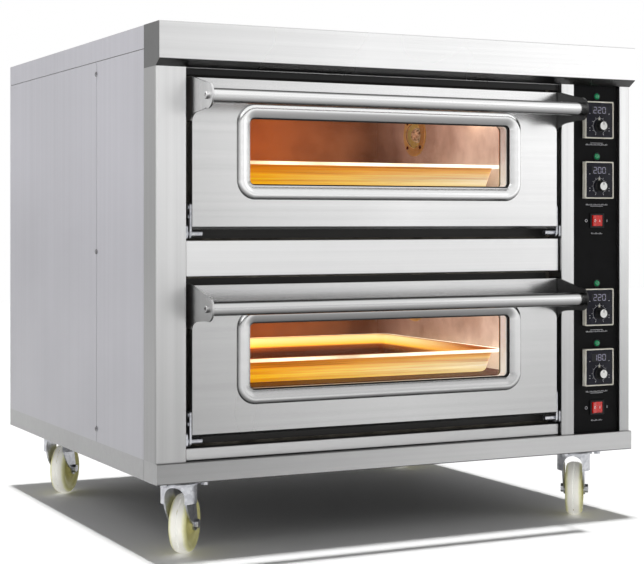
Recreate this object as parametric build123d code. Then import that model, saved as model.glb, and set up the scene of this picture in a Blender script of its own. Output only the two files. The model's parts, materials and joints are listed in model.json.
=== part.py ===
from build123d import *
import math
import os

# Two-deck electric deck oven on swivel casters. Millimetres throughout.
# While modelling: x runs from the left side, y from the face of the front columns (back is +),
# z from the underside of the base. The last lines move everything to the shared origin.

# Driving sizes
deck_names = ("lower", "upper")
body_width = 1000.0
body_depth = 900.0
door_height = 263.0
base_height = 36.0
caster_height = 135.0
canopy_face = 64.0

# Sheet metal
sheet = 1.5
heavy_sheet = 2.0
fold_return = 12.0
seam = 1.0
fit_gap = 0.5

# Front frame
left_column_width = 56.5
mid_column_width = 29.6
right_column_width = 24.0
panel_width = 109.0
column_depth = 57.0
mid_column_depth = 40.0
column_round = 4.0
edge_round = 2.0
kick_height = 22.0
gap_under_door = 19.0
gap_over_door = 13.5
fascia_height = 63.5
fascia_recess = 8.0
fascia_fold = 20.0
fascia_end_gap = 3.0
gap_over_top_door = 16.5
lip_height = 11.5
canopy_overhang = 18.0
canopy_flange = 12.0
canopy_downstand = 11.5
base_overhang = 6.0
base_lip = 15.0
top_band = 41.0
side_seam_y = 311.0
groove_depth = 0.8

# Baking chambers
chamber_inset = 60.0
chamber_front = 40.0
chamber_rear_space = 268.0
chamber_floor_rise = 27.0
chamber_ceiling_drop = 5.0
mouth_cover = 6.0
wool_flange = 10.0
hearth_rise = 78.0
hearth_thickness = 14.0
hearth_ledge = 18.0
hearth_play = 1.5
rod_radius = 4.0
rod_bend = 30.0
rod_pitch = 130.0
rods_per_set = 4
rod_end_gap = 22.0
rod_hole_play = 0.6
rod_rise_below = 46.0
rod_drop_above = 14.0
rod_terminal = 16.0
partition_gap = 8.0
wool_gap = 0.5
lamp_past_rod = 28.0
lamp_drop = 62.0
lamp_ring_radius = 46.0
lamp_cup_radius = 30.0
lamp_cup_depth = 54.0
lamp_ring_thickness = 4.0
lamp_ring_round = 1.5
lamp_skirt = 18.0
lamp_dome_height = 15.0
lamp_glass_wall = 2.5
bulb_radius = 17.0
bulb_neck_radius = 12.0

# Baking tray
tray_side_gap = 20.0
tray_depth = 480.0
tray_height = 45.0
tray_front_gap = 38.0
tray_rim = 12.0
tray_corner = 24.0
tray_bowl_corner = 18.0
tray_draft = 12.0
tray_sheet = 1.2
tray_clearance = 0.2

# Doors
door_side_gap = 10.8
door_thickness = 38.0
door_chamfer = 5.0
door_edge_round = 1.5
liner_inset = 2.0
liner_fold = 16.0
bead_side = 84.0
bead_rise = 52.0
bead_top_drop = 42.0
bead_width = 25.0
bead_corner = 35.0
bead_proud = 7.0
bead_outer_round = 6.4
bead_inner_round = 6.0
bead_spigot = 3.0
bead_seat = 8.0
pane_thickness = 4.0
pane_lap = 10.0
hinge_y = 12.0
hinge_drop = 7.0
hinge_pin_radius = 5.0
pin_clearance = 0.06
pin_inboard = 22.0
lug_thickness = 3.4
lug_radius = 9.0
lug_rise = 45.0
lug_round = 4.5
lug_screw_pitch = 15.75
lug_width = 30.0
lug_screw_radius = 2.0
lug_screw_head = 4.0
lug_screw_head_height = 1.5
lug_screw_length = 7.5
hinge_bracket_thickness = 4.0
hinge_bracket_rise = 14.0

# Handles
bar_radius = 12.5
bar_wall = 2.0
bar_reach = 76.0
bar_drop = 37.0
bracket_thickness = 3.3
bracket_tip = 22.0
bracket_half_height = 38.5
bracket_inset = 26.0
bracket_upper_angle = 100.0
bracket_lower_angle = -112.0
bracket_tangents = ((1, -0.25), (0.45, -1))
bolt_radius = 4.0
bolt_head_radius = 6.5
bolt_head_height = 4.5
bolt_length = 22.0
socket_radius = 3.2
socket_depth = 2.5
bolt_play = 0.1
bolt_head_round = 1.0

# Controls
panel_recess = 8.0
controller_width = 67.0
controller_height = 72.0
controller_proud = 9.0
bezel_round = 1.0
controller_body = 60.0
controller_body_depth = 70.0
controller_top_drop = 50.6
controller_spare = 27.6
lower_controls_drop = 7.5
control_offset = 4.6
lamp_over_controller = 46.5
pilot_radius = 6.0
pilot_dome_round = 4.2
pilot_proud = 5.0
pilot_length = 28.0
knob_radius = 11.5
knob_length = 13.5
knob_skirt = 3.0
knob_grip_step = 1.5
knob_round = 1.0
pointer_width = 1.2
pointer_depth = 0.6
pointer_start = 3.0
pointer_end = 9.0
knob_drop = 12.0
spindle_radius = 3.0
spindle_length = 12.0
spindle_clearance = 0.06
knob_gap = 0.8
switch_lift = 38.2
switch_width = 33.0
switch_height = 28.0
switch_proud = 3.0
switch_body_depth = 24.0
rocker_width = 24.0
rocker_height = 21.0
rocker_tilt = 8.0
rocker_rise = 3.0
rocker_valley = 0.6
rocker_pivot_depth = 0.6
rocker_play = 1.2
trunnion_radius = 1.5
trunnion_length = 2.0
trunnion_clearance = 0.06
cutout_play = 0.5

# Casters
caster_left = 60.0
caster_right = 103.0
caster_front = 44.0
caster_back = 165.0
caster_angle = 39.0
wheel_radius = 52.5
wheel_width = 32.0
trail = 34.0
plate_length = 92.0
plate_width = 66.0
plate_thickness = 3.0
plate_corner = 6.0
plate_bolt_x = 76.0
plate_bolt_y = 50.0
kingpin_radius = 6.0
kingpin_clearance = 0.06
kingpin_head_radius = 9.6
kingpin_head_drop = 4.0
kingpin_head_gap = 0.5
race_gap = 1.0
crown_radius = 32.0
crown_height = 36.0
crown_skirt = 28.8
leg_thickness = 3.0
leg_boss = 12.0
leg_clearance = 2.0
leg_waist = 8.45
axle_radius = 5.0
axle_clearance = 0.06
axle_hole_play = 0.1
hub_gap = 0.3
nut_radius = 8.5
nut_height = 6.0
caster_bolt_radius = 4.0
caster_bolt_head = 5.0
caster_bolt_head_radius = 6.4
hub_radius = 15.0
rim_drop = 14.0
rim_lip = 1.0
shoulder_drop = 8.0
crown_side = 9.92
crown_drop = 2.2
tread_groove = 0.8
tread_groove_depth = 1.2
wheel_dish = 4.0
wheel_blend = 3.0

# Back and fasteners
screw_radius = 2.0
screw_head_radius = 5.0
screw_head_height = 2.8
screw_head_round = 1.9
screw_length = 9.0
screw_end_gap = 24.0
gland_radius = 10.0
gland_bore = 6.5
gland_reach = 18.0
gland_round = 2.0
gland_collar_radius = 14.0
gland_collar_depth = 6.0
gland_nut_radius = 13.0
gland_nut_depth = 4.0
gland_inside = 12.0
gland_height = 70.0
gland_from_right = 70.0
louvre_length = 78.0
louvre_height = 5.0
louvre_pitch = 16.0
louvre_count = 9
contactor_width = 45.0
contactor_height = 85.0
contactor_depth = 80.0
contactor_shoulder = 16.0
contactor_shoulder_rise = 59.5
contactor_front = 300.0
contactor_pitch = 120.0

# Places that follow from the sizes above
opening_left = left_column_width
panel_right = body_width - right_column_width
panel_left = panel_right - panel_width
opening_right = panel_left - mid_column_width
first_door_bottom = base_height + kick_height + gap_under_door
deck_pitch = gap_under_door + door_height + gap_over_door + fascia_height
door_bottoms = {name: first_door_bottom + i * deck_pitch for i, name in enumerate(deck_names)}
top_door_top = max(door_bottoms.values()) + door_height
lip_bottom = top_door_top + gap_over_top_door
face_bottom = lip_bottom + lip_height
cabinet_height = face_bottom + canopy_face
band_bottom = cabinet_height - top_band
door_left = opening_left + door_side_gap
door_right = opening_right - door_side_gap
chamber_left = opening_left + chamber_inset
chamber_right = opening_right - chamber_inset
chamber_back = body_depth - chamber_rear_space
control_x = (panel_left + panel_right) / 2 + control_offset
panel_face = panel_recess
controller_step = (door_height - controller_spare) / 2
switch_drop = controller_step - switch_lift
chamber_ceiling_rise = door_height - chamber_ceiling_drop
side_wool_right = opening_right + partition_gap
axle_height = wheel_radius - caster_height


def block(x0, x1, y0, y1, z0, z1):
    return Pos((x0 + x1) / 2, (y0 + y1) / 2, (z0 + z1) / 2) * Box(x1 - x0, y1 - y0, z1 - z0)


def rod_x(x0, x1, y, z, radius):
    return Pos((x0 + x1) / 2, y, z) * Rot(0, 90, 0) * Cylinder(radius, x1 - x0)


def rod_y(y0, y1, x, z, radius):
    return Pos(x, (y0 + y1) / 2, z) * Rot(90, 0, 0) * Cylinder(radius, y1 - y0)


def rod_z(z0, z1, x, y, radius):
    return Pos(x, y, (z0 + z1) / 2) * Cylinder(radius, z1 - z0)


def hexagon_x(x0, x1, y, z, radius):
    nut = extrude(RegularPolygon(radius, 6), x1 - x0)
    return Pos(x0, y, z) * Rot(0, 90, 0) * nut


def hexagon_z(z0, z1, x, y, radius):
    return Pos(x, y, z0) * extrude(RegularPolygon(radius, 6), z1 - z0)


def group(pieces):
    return Compound(children=list(pieces))


def rounded(part, axis, radius, wanted):
    """Fillets the edges along an axis whose centre passes the test."""
    edges = [edge for edge in part.edges().filter_by(axis) if wanted(edge.center())]
    return fillet(edges, radius)


def near(a, b):
    return abs(a - b) < 0.01


def window_prism(x0, x1, z0, z1, corner, y0, y1):
    """A prism through the door with a rounded rectangle for its outline."""
    outline = RectangleRounded(x1 - x0, z1 - z0, corner)
    prism = extrude(Plane.XZ * outline, -(y1 - y0))
    return Pos((x0 + x1) / 2, y0, (z0 + z1) / 2) * prism


def base_pan():
    pan = block(0, body_width, -base_overhang, body_depth, 0, base_height)
    pan = rounded(pan, Axis.X, edge_round, lambda c: c.Y < 0)
    pan -= block(heavy_sheet, body_width - heavy_sheet, heavy_sheet - base_overhang,
                 body_depth - heavy_sheet, heavy_sheet, base_height - heavy_sheet)
    pan -= block(base_lip, body_width - base_lip, base_lip, body_depth - base_lip,
                 heavy_sheet, base_height + 1)
    for x in (groove_depth / 2, body_width - groove_depth / 2):
        pan -= block(x - groove_depth / 2, x + groove_depth / 2, column_depth,
                     column_depth + seam, 0, base_height)
    for x, y in caster_bolt_places():
        pan -= rod_z(-1, heavy_sheet + 1, x, y, caster_bolt_radius + fit_gap / 2)
    return pan


def front_column(x0, width, depth, left_round, right_round):
    column = block(x0, x0 + width, 0, depth, base_height, lip_bottom)
    column = rounded(column, Axis.Z, left_round, lambda c: near(c.Y, 0) and near(c.X, x0))
    column = rounded(column, Axis.Z, right_round, lambda c: near(c.Y, 0) and c.X > x0 + width / 2)
    column -= block(x0 + sheet, x0 + width - sheet, sheet, depth + 1, base_height - 1, lip_bottom + 1)
    return column


def side_panels():
    """Four folded panels: a narrow one in front and a wide one behind on each side."""
    spans = ((column_depth + fit_gap, side_seam_y - seam / 2), (side_seam_y + seam / 2, body_depth - sheet))
    top = band_bottom - seam
    pieces = []
    for left, inner in ((0, 1), (body_width - fold_return, -1)):
        for y0, y1 in spans:
            panel = block(left, left + fold_return, y0, y1, base_height, top)
            shift = inner * sheet
            panel -= block(left + shift, left + fold_return + shift, y0 + sheet, y1 - sheet,
                           base_height + sheet, top - sheet)
            for x, z in side_screw_places():
                panel -= rod_x(x - screw_length * 2, x + screw_length * 2, side_seam_y, z,
                               screw_radius + fit_gap / 2)
            pieces.append(panel)
    return group(pieces)


def side_screw_places():
    heights = (base_height + screw_end_gap, (base_height + band_bottom) / 2, band_bottom - screw_end_gap)
    return [(x, z) for x in (0, body_width) for z in heights]


def back_screw_places():
    columns = (side_wool_right / 3, side_wool_right * 2 / 3)
    heights = (base_height + screw_end_gap, band_bottom - screw_end_gap)
    return [(x, z) for x in columns for z in heights]


def back_panel():
    panel = block(0, body_width, body_depth - sheet, body_depth, base_height, band_bottom - seam)
    for x, z in back_screw_places():
        panel -= rod_y(body_depth - sheet * 2, body_depth + 1, x, z, screw_radius + fit_gap / 2)
    panel -= rod_y(body_depth - sheet * 2, body_depth + 1, gland_x(), gland_height,
                   gland_radius + cutout_play / 2)
    start = (base_height + band_bottom) / 2 - louvre_pitch * (louvre_count - 1) / 2
    louvre_x = (side_wool_right + body_width) / 2
    for i in range(louvre_count):
        z = start + i * louvre_pitch
        panel -= block(louvre_x - louvre_length / 2, louvre_x + louvre_length / 2,
                       body_depth - sheet * 2, body_depth + 1, z, z + louvre_height)
    return panel


def panel_screws():
    screws = []
    for x, z in side_screw_places():
        out = -1 if x == 0 else 1
        inner = x - out * screw_length
        shank = rod_x(min(x, inner), max(x, inner), side_seam_y, z, screw_radius)
        tip = x + out * screw_head_height
        head = rod_x(min(x, tip), max(x, tip), side_seam_y, z, screw_head_radius)
        head = fillet([e for e in head.edges() if near(e.center().X, tip)], screw_head_round)
        screws.append(shank + head)
    for x, z in back_screw_places():
        shank = rod_y(body_depth - screw_length, body_depth, x, z, screw_radius)
        tip = body_depth + screw_head_height
        head = rod_y(body_depth, tip, x, z, screw_head_radius)
        head = fillet([e for e in head.edges() if near(e.center().Y, tip)], screw_head_round)
        screws.append(shank + head)
    return group(screws)


def top_cover():
    front = column_depth + fit_gap
    cover = block(0, body_width, front, body_depth, band_bottom, cabinet_height)
    cover = rounded(cover, Axis.Y, edge_round, lambda c: c.Z > band_bottom + 1)
    cover -= block(sheet, body_width - sheet, front - 1, body_depth - sheet,
                   band_bottom - 1, cabinet_height - sheet)
    return cover


def canopy_outline(inset):
    """Side outline of the canopy: upright face, slanted lip, flat underside."""
    slope = math.atan2(lip_height, canopy_overhang)
    corner = inset * math.tan((math.pi / 2 - slope) / 2)
    low = inset * math.tan(slope / 2)
    return Polyline(
        (-canopy_overhang + inset, cabinet_height - inset),
        (-canopy_overhang + inset, face_bottom + corner),
        (low, lip_bottom + inset),
        (column_depth + inset, lip_bottom + inset),
        (column_depth + inset, cabinet_height - inset),
        close=True,
    )


def canopy():
    hood = extrude(Plane.YZ * make_face(canopy_outline(0)), body_width)
    hood = rounded(hood, Axis.X, edge_round, lambda c: near(c.Y, -canopy_overhang))
    hollow = extrude(Plane.YZ * make_face(canopy_outline(sheet)), body_width - sheet * 2)
    hood -= Pos(sheet, 0, 0) * hollow
    hood -= block(sheet, body_width - sheet, canopy_flange, column_depth + 1,
                  lip_bottom - 1, lip_bottom + sheet + 1)
    hood += block(opening_left + fit_gap, opening_right - fit_gap, canopy_flange - sheet, canopy_flange,
                  lip_bottom - canopy_downstand, lip_bottom + sheet)
    return hood


def folded_front(z0, z1):
    """A front strip folded back on all four sides."""
    x0 = opening_left + fascia_end_gap
    x1 = opening_right - fascia_end_gap
    strip = block(x0, x1, fascia_recess, fascia_recess + fascia_fold, z0, z1)
    strip = rounded(strip, Axis.X, edge_round, lambda c: near(c.Y, fascia_recess))
    strip -= block(x0 + sheet, x1 - sheet, fascia_recess + sheet, fascia_recess + fascia_fold + 1,
                   z0 + sheet, z1 - sheet)
    return strip


def middle_fascia():
    low = door_bottoms["lower"] + door_height + gap_over_door
    return folded_front(low, low + fascia_height)


def kick_panel():
    return folded_front(base_height, base_height + kick_height)


def controller_centres():
    """Heights from the top down: two controllers beside each door, the lower pair set a little lower."""
    places = []
    for extra_drop, deck in zip((0, lower_controls_drop), reversed(deck_names)):
        top = door_bottoms[deck] + door_height - controller_top_drop - extra_drop
        places += [top, top - controller_step]
    return places


def switch_centres():
    return [z - switch_drop for z in controller_centres()[1::2]]


def control_panel():
    panel = block(panel_left, panel_right - fit_gap, panel_face, panel_face + sheet, base_height, lip_bottom)
    for z in controller_centres():
        half = controller_body / 2 + cutout_play
        panel -= block(control_x - half, control_x + half, 0, panel_face * 2, z - half, z + half)
        panel -= rod_y(0, panel_face * 2, control_x, z + lamp_over_controller,
                       pilot_radius + cutout_play / 2)
    for z in switch_centres():
        half_x = switch_width / 2 - sheet + cutout_play / 2
        half_z = switch_height / 2 - sheet + cutout_play / 2
        panel -= block(control_x - half_x, control_x + half_x, 0, panel_face * 2, z - half_z, z + half_z)
    return panel


def controller_housing(z):
    front = panel_face - controller_proud
    bezel = block(control_x - controller_width / 2, control_x + controller_width / 2, front, panel_face,
                  z - controller_height / 2, z + controller_height / 2)
    bezel = fillet([e for e in bezel.edges() if near(e.center().Y, front)], bezel_round)
    half = controller_body / 2
    housing = bezel + block(control_x - half, control_x + half, panel_face,
                            panel_face + controller_body_depth, z - half, z + half)
    bore_end = front + spindle_length + 1
    return housing - rod_y(front - 1, bore_end, control_x, z - knob_drop,
                           spindle_radius + spindle_clearance)


def control_knob(z):
    face = panel_face - controller_proud - knob_gap
    centre = z - knob_drop
    skirt = rod_y(face - knob_skirt, face, control_x, centre, knob_radius)
    grip = rod_y(face - knob_length, face - knob_skirt, control_x, centre, knob_radius - knob_grip_step)
    knob = skirt + grip
    knob = fillet([e for e in knob.edges() if near(e.center().Y, face - knob_length)], knob_round)
    knob += rod_y(face, face + knob_gap + spindle_length, control_x, centre, spindle_radius)
    half = pointer_width / 2
    pointer = block(control_x - half, control_x + half, face - knob_length - 1,
                    face - knob_length + pointer_depth, centre + pointer_start, centre + pointer_end)
    return knob - pointer


def indicator_lamps():
    lamps = []
    for z in controller_centres():
        height = z + lamp_over_controller
        lens = rod_y(panel_face - pilot_proud, panel_face + pilot_length, control_x, height, pilot_radius)
        front = [e for e in lens.edges() if near(e.center().Y, panel_face - pilot_proud)]
        lamps.append(fillet(front, pilot_dome_round))
    return group(lamps)


def switch_pivot_y():
    return panel_face - switch_proud + trunnion_radius + rocker_pivot_depth


def switch_housing(z):
    front = panel_face - switch_proud
    bezel = block(control_x - switch_width / 2, control_x + switch_width / 2, front, panel_face,
                  z - switch_height / 2, z + switch_height / 2)
    bezel = fillet([e for e in bezel.edges() if near(e.center().Y, front)], bezel_round)
    body_x = switch_width / 2 - sheet
    body_z = switch_height / 2 - sheet
    housing = bezel + block(control_x - body_x, control_x + body_x, panel_face,
                            panel_face + switch_body_depth, z - body_z, z + body_z)
    pocket_x = rocker_width / 2 + rocker_play
    pocket_z = rocker_height / 2 + fit_gap
    pocket_end = switch_pivot_y() + rocker_width / 2 + rocker_play
    housing -= block(control_x - pocket_x, control_x + pocket_x, front - 1, pocket_end,
                     z - pocket_z, z + pocket_z)
    reach = pocket_z + trunnion_length
    return housing - rod_z(z - reach, z + reach, control_x, switch_pivot_y(),
                           trunnion_radius + trunnion_clearance)


def rocker_switch(z):
    """A rocker with a shallow valley in front and a round back, tilted to one side at rest."""
    half = rocker_width / 2
    profile = make_face(
        Polyline((half, 0), (half, -rocker_rise), (0, -rocker_valley), (-half, -rocker_rise), (-half, 0))
        + ThreePointArc((-half, 0), (0, half), (half, 0))
    )
    rocker = extrude(profile, rocker_height / 2, both=True)
    pin = Cylinder(trunnion_radius, rocker_height + (fit_gap + trunnion_length) * 2 - fit_gap)
    rocker = Rot(0, 0, rocker_tilt) * (rocker + pin)
    return Pos(control_x, switch_pivot_y(), z) * rocker


def rod_centres():
    """Middle of each heating rod's two legs, front to back."""
    span = rod_pitch * (rods_per_set - 1)
    start = (chamber_front + chamber_back - span) / 2
    return [start + i * rod_pitch for i in range(rods_per_set)]


def lamp_place(deck):
    """Depth and height of the oven lamp: just behind a rod, under the ceiling."""
    return rod_centres()[-2] + rod_bend + lamp_past_rod, door_bottoms[deck] + door_height - lamp_drop


def rod_heights(deck):
    low = door_bottoms[deck]
    return (low + rod_rise_below, low + chamber_ceiling_rise - rod_drop_above)


def heating_elements():
    """Hairpin rods that enter through the right wall, bend at the left and come back."""
    rods = []
    bend_x = chamber_left + rod_end_gap + rod_bend
    end_x = side_wool_right + rod_terminal
    for deck in deck_names:
        for z in rod_heights(deck):
            for y in rod_centres():
                path = Polyline((end_x, y - rod_bend, z), (bend_x, y - rod_bend, z))
                path += ThreePointArc((bend_x, y - rod_bend, z), (bend_x - rod_bend, y, z),
                                      (bend_x, y + rod_bend, z))
                path += Polyline((bend_x, y + rod_bend, z), (end_x, y + rod_bend, z))
                section = Plane((end_x, y - rod_bend, z), z_dir=(-1, 0, 0)) * Circle(rod_radius)
                rods.append(sweep(section, path=path))
    return group(rods)


def rod_holes(deck, x0, x1):
    holes = []
    for z in rod_heights(deck):
        for y in rod_centres():
            for side in (-rod_bend, rod_bend):
                holes.append(rod_x(x0, x1, y + side, z, rod_radius + rod_hole_play))
    return holes


def chamber_liner(deck):
    """Spot-welded sheets: mouth frame, floor, ceiling, three walls, hearth ledges and a rod hanger."""
    low = door_bottoms[deck]
    floor = low + chamber_floor_rise
    ceiling = low + chamber_ceiling_rise
    front = chamber_front + sheet
    back = chamber_back + sheet
    left = chamber_left - sheet
    right = chamber_right + sheet
    frame_left = opening_left + fit_gap
    frame_right = opening_right - fit_gap
    frame_low = low - gap_under_door - mouth_cover
    frame_high = low + door_height + gap_over_door + mouth_cover
    sheets = [
        block(frame_left, frame_right, chamber_front, front, frame_low, floor),
        block(frame_left, frame_right, chamber_front, front, ceiling, frame_high),
        block(frame_left, chamber_left, chamber_front, front, floor, ceiling),
        block(chamber_right, frame_right, chamber_front, front, floor, ceiling),
        block(left, right, front, back, floor - sheet, floor),
        block(left, right, front, back, ceiling, ceiling + sheet),
        block(left, chamber_left, front, back, floor, ceiling),
        block(chamber_left, chamber_right, chamber_back, back, floor, ceiling),
    ]
    right_wall = block(chamber_right, right, front, back, floor, ceiling)
    for hole in rod_holes(deck, chamber_right - 1, right + 1):
        right_wall -= hole
    right_wall -= rod_x(chamber_right - 1, right + 1, *lamp_place(deck), lamp_cup_radius + fit_gap)
    sheets.append(right_wall)
    ledge_top = low + hearth_rise - hearth_thickness
    for x in (chamber_left, chamber_right - hearth_ledge):
        sheets.append(block(x, x + hearth_ledge, front, chamber_back, ledge_top - sheet, ledge_top))
    hanger_top = rod_heights(deck)[1] - rod_radius - fit_gap
    sheets.append(block(chamber_left, chamber_left + rod_end_gap + hearth_ledge, front, chamber_back,
                        hanger_top - sheet, hanger_top))
    return group(sheets)


def hearth_plates():
    plates = []
    for deck in deck_names:
        top = door_bottoms[deck] + hearth_rise
        plates.append(block(chamber_left + hearth_play, chamber_right - hearth_play,
                            chamber_front + hearth_play, chamber_back - hearth_play,
                            top - hearth_thickness, top))
    return group(plates)


def insulation_slabs():
    """Mineral wool on both sides, behind, under, between and over the chambers."""
    wool_left = chamber_left - sheet - wool_gap
    wool_right = chamber_right + sheet + wool_gap
    wool_back = chamber_back + sheet + wool_gap
    edge = wool_flange + sheet
    front = chamber_front + sheet + wool_gap
    left_x = fold_return + wool_gap * 2
    low = base_height + wool_gap
    high = band_bottom - wool_gap
    rear = body_depth - fold_return - wool_gap
    left_front = column_depth + fold_return
    slabs = [block(left_x, wool_left, left_front, rear, low, high)]
    right = block(wool_right, side_wool_right, front + mid_column_depth, rear, low, high)
    for deck in deck_names:
        for hole in rod_holes(deck, wool_right - 1, side_wool_right + 1):
            right -= hole
        right -= rod_x(wool_right - 1, wool_right + lamp_cup_depth, *lamp_place(deck),
                       lamp_cup_radius + wool_gap)
    slabs.append(right)
    slabs.append(block(wool_left + wool_gap, wool_right - wool_gap, wool_back, rear, low, high))
    levels = [low]
    for deck in deck_names:
        levels.append(door_bottoms[deck] + chamber_floor_rise - edge - wool_gap)
        levels.append(door_bottoms[deck] + chamber_ceiling_rise + edge + wool_gap)
    levels.append(high)
    for z0, z1 in zip(levels[0::2], levels[1::2]):
        slabs.append(block(wool_left + wool_gap, wool_right - wool_gap, front + fascia_fold,
                           wool_back - wool_gap, z0, z1))
    return group(slabs)


def lamp_housing(deck):
    y, z = lamp_place(deck)
    face = chamber_right
    ring = rod_x(face - lamp_ring_thickness, face, y, z, lamp_ring_radius)
    ring = fillet([e for e in ring.edges() if near(e.center().X, face - lamp_ring_thickness)], lamp_ring_round)
    cup = rod_x(face, face + lamp_cup_depth, y, z, lamp_cup_radius)
    housing = ring + cup
    return housing - rod_x(face - lamp_ring_thickness - 1, face + lamp_cup_depth - sheet,
                           y, z, lamp_cup_radius - sheet)


def dome_arc(reach, radius):
    """Half of a shallow cap's outline in the plane of the lamp's axis, from its tip to its rim."""
    sphere_radius = (radius * radius + reach * reach) / (2 * reach)
    half_turn = math.asin(radius / sphere_radius) / 2
    halfway = (sphere_radius - reach - sphere_radius * math.cos(half_turn), sphere_radius * math.sin(half_turn))
    return ThreePointArc((-reach, 0), halfway, (0, radius))


def lamp_glass(deck):
    """A turned jar: domed front, straight skirt inside the cup, open at the back."""
    radius = lamp_cup_radius - sheet - fit_gap
    inner_radius = radius - lamp_glass_wall
    inner_reach = lamp_dome_height - lamp_glass_wall
    line = dome_arc(lamp_dome_height, radius)
    line += Polyline((0, radius), (lamp_skirt, radius), (lamp_skirt, inner_radius), (0, inner_radius))
    line += dome_arc(inner_reach, inner_radius)
    line += Line((-inner_reach, 0), (-lamp_dome_height, 0))
    jar = revolve(make_face(line), Axis.X)
    return Pos(chamber_right - lamp_ring_thickness, *lamp_place(deck)) * jar


def lamp_bulb(deck):
    """One turned solid: a round front that narrows to a neck, flat where it meets the cup."""
    start = chamber_right + bulb_radius / 2
    length = chamber_right + lamp_cup_depth - sheet - start
    meet = math.sqrt(bulb_radius ** 2 - bulb_neck_radius ** 2)
    line = ThreePointArc((-bulb_radius, 0), (0, bulb_radius), (meet, bulb_neck_radius))
    line += Polyline((meet, bulb_neck_radius), (length, bulb_neck_radius), (length, 0), (-bulb_radius, 0))
    return Pos(start, *lamp_place(deck)) * revolve(make_face(line), Axis.X)


def baking_tray(deck):
    """A drawn tray: sloping walls, a flat rim and an open top."""
    bottom = door_bottoms[deck] + hearth_rise + tray_clearance
    x0 = chamber_left + tray_side_gap
    x1 = chamber_right - tray_side_gap
    y0 = chamber_front + tray_front_gap
    mid_x = (x0 + x1) / 2
    mid_y = y0 + tray_depth / 2
    width = x1 - x0
    outer = tray_bowl(width, tray_depth, tray_height, 0)
    inner = Pos(0, 0, tray_sheet) * tray_bowl(width, tray_depth, tray_height, tray_sheet)
    rim = Pos(0, 0, tray_height - tray_sheet) * extrude(RectangleRounded(width, tray_depth, tray_corner),
                                                        tray_sheet)
    return Pos(mid_x, mid_y, bottom) * ((outer + rim) - inner)


def tray_bowl(width, depth, height, inset):
    shrink = (tray_rim + inset) * 2
    top = RectangleRounded(width - shrink, depth - shrink, tray_bowl_corner)
    shrink += tray_draft * 2
    bottom = RectangleRounded(width - shrink, depth - shrink, tray_bowl_corner)
    return loft([bottom, Pos(0, 0, height) * top])


def door_window(deck, lap):
    """Glass opening of a door grown by a lap on every side: x0, x1, z0, z1."""
    low = door_bottoms[deck] + bead_rise + bead_width
    high = door_bottoms[deck] + door_height - bead_top_drop - bead_width
    left = door_left + bead_side + bead_width
    right = door_right - bead_side - bead_width
    return left - lap, right + lap, low - lap, high + lap


def door_skin(deck):
    low = door_bottoms[deck]
    high = low + door_height
    back = door_thickness - sheet * 2
    skin = block(door_left, door_right, 0, back, low, high)
    skin = chamfer([e for e in skin.edges().filter_by(Axis.X)
                    if near(e.center().Y, 0) and near(e.center().Z, low)], door_chamfer)
    skin = rounded(skin, Axis.Z, door_edge_round, lambda c: near(c.Y, 0))
    skin = rounded(skin, Axis.X, door_edge_round, lambda c: near(c.Y, 0) and near(c.Z, high))
    skin -= block(door_left + sheet, door_right - sheet, sheet, back + 1,
                  low + door_chamfer + sheet, high - sheet)
    skin -= block(door_left + sheet, door_right - sheet, door_chamfer + sheet, back + 1,
                  low + sheet, low + door_chamfer + sheet + 1)
    for centre in hinge_lug_bolts(deck):
        skin -= rod_x(door_left - 1, door_left + sheet + 1, *centre, lug_screw_radius + bolt_play)
        skin -= rod_x(door_right - sheet - 1, door_right + 1, *centre, lug_screw_radius + bolt_play)
    x0, x1, z0, z1 = door_window(deck, bead_spigot + cutout_play)
    return skin - window_prism(x0, x1, z0, z1, bead_corner - bead_width + bead_spigot, -1, sheet + 1)


def hinge_lug_bolts(deck):
    z = door_bottoms[deck] + lug_rise / 2
    return [(hinge_y, z), (hinge_y, z + lug_screw_pitch)]


def window_bead(deck):
    outer = door_window(deck, bead_width)
    inner = door_window(deck, 0)
    spigot = door_window(deck, bead_spigot)
    inner_corner = bead_corner - bead_width
    ring = window_prism(*outer, bead_corner, -bead_proud, 0)
    front = [e for e in ring.edges() if near(e.center().Y, -bead_proud)]
    ring = fillet(front, bead_outer_round)
    ring += window_prism(*spigot, inner_corner + bead_spigot, 0, bead_seat)
    hole = window_prism(*inner, inner_corner, -bead_proud - 1, bead_seat + 1)
    bead = ring - hole
    inside = [e for e in bead.edges() if near(e.center().Y, -bead_proud)
              and inner[0] - 1 < e.center().X < inner[1] + 1 and inner[2] - 1 < e.center().Z < inner[3] + 1]
    return fillet(inside, bead_inner_round)


def window_panes(deck):
    x0, x1, z0, z1 = door_window(deck, pane_lap)
    back = door_thickness - sheet - fit_gap
    return group([block(x0, x1, y, y + pane_thickness, z0, z1)
                  for y in (bead_seat, back - pane_thickness)])


def door_liner(deck):
    low = door_bottoms[deck] + liner_inset
    high = door_bottoms[deck] + door_height - liner_inset
    x0 = door_left + liner_inset
    x1 = door_right - liner_inset
    back = door_thickness
    fold = back - liner_fold
    liner = block(x0, x1, fold, back, low, high)
    liner = rounded(liner, Axis.Z, sheet, lambda c: near(c.Y, back))
    liner -= block(x0 + sheet, x1 - sheet, fold - 1, back - sheet, low + sheet, high - sheet)
    return liner - window_prism(*door_window(deck, 0), bead_corner - bead_width, back - sheet * 2, back + 1)


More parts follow.
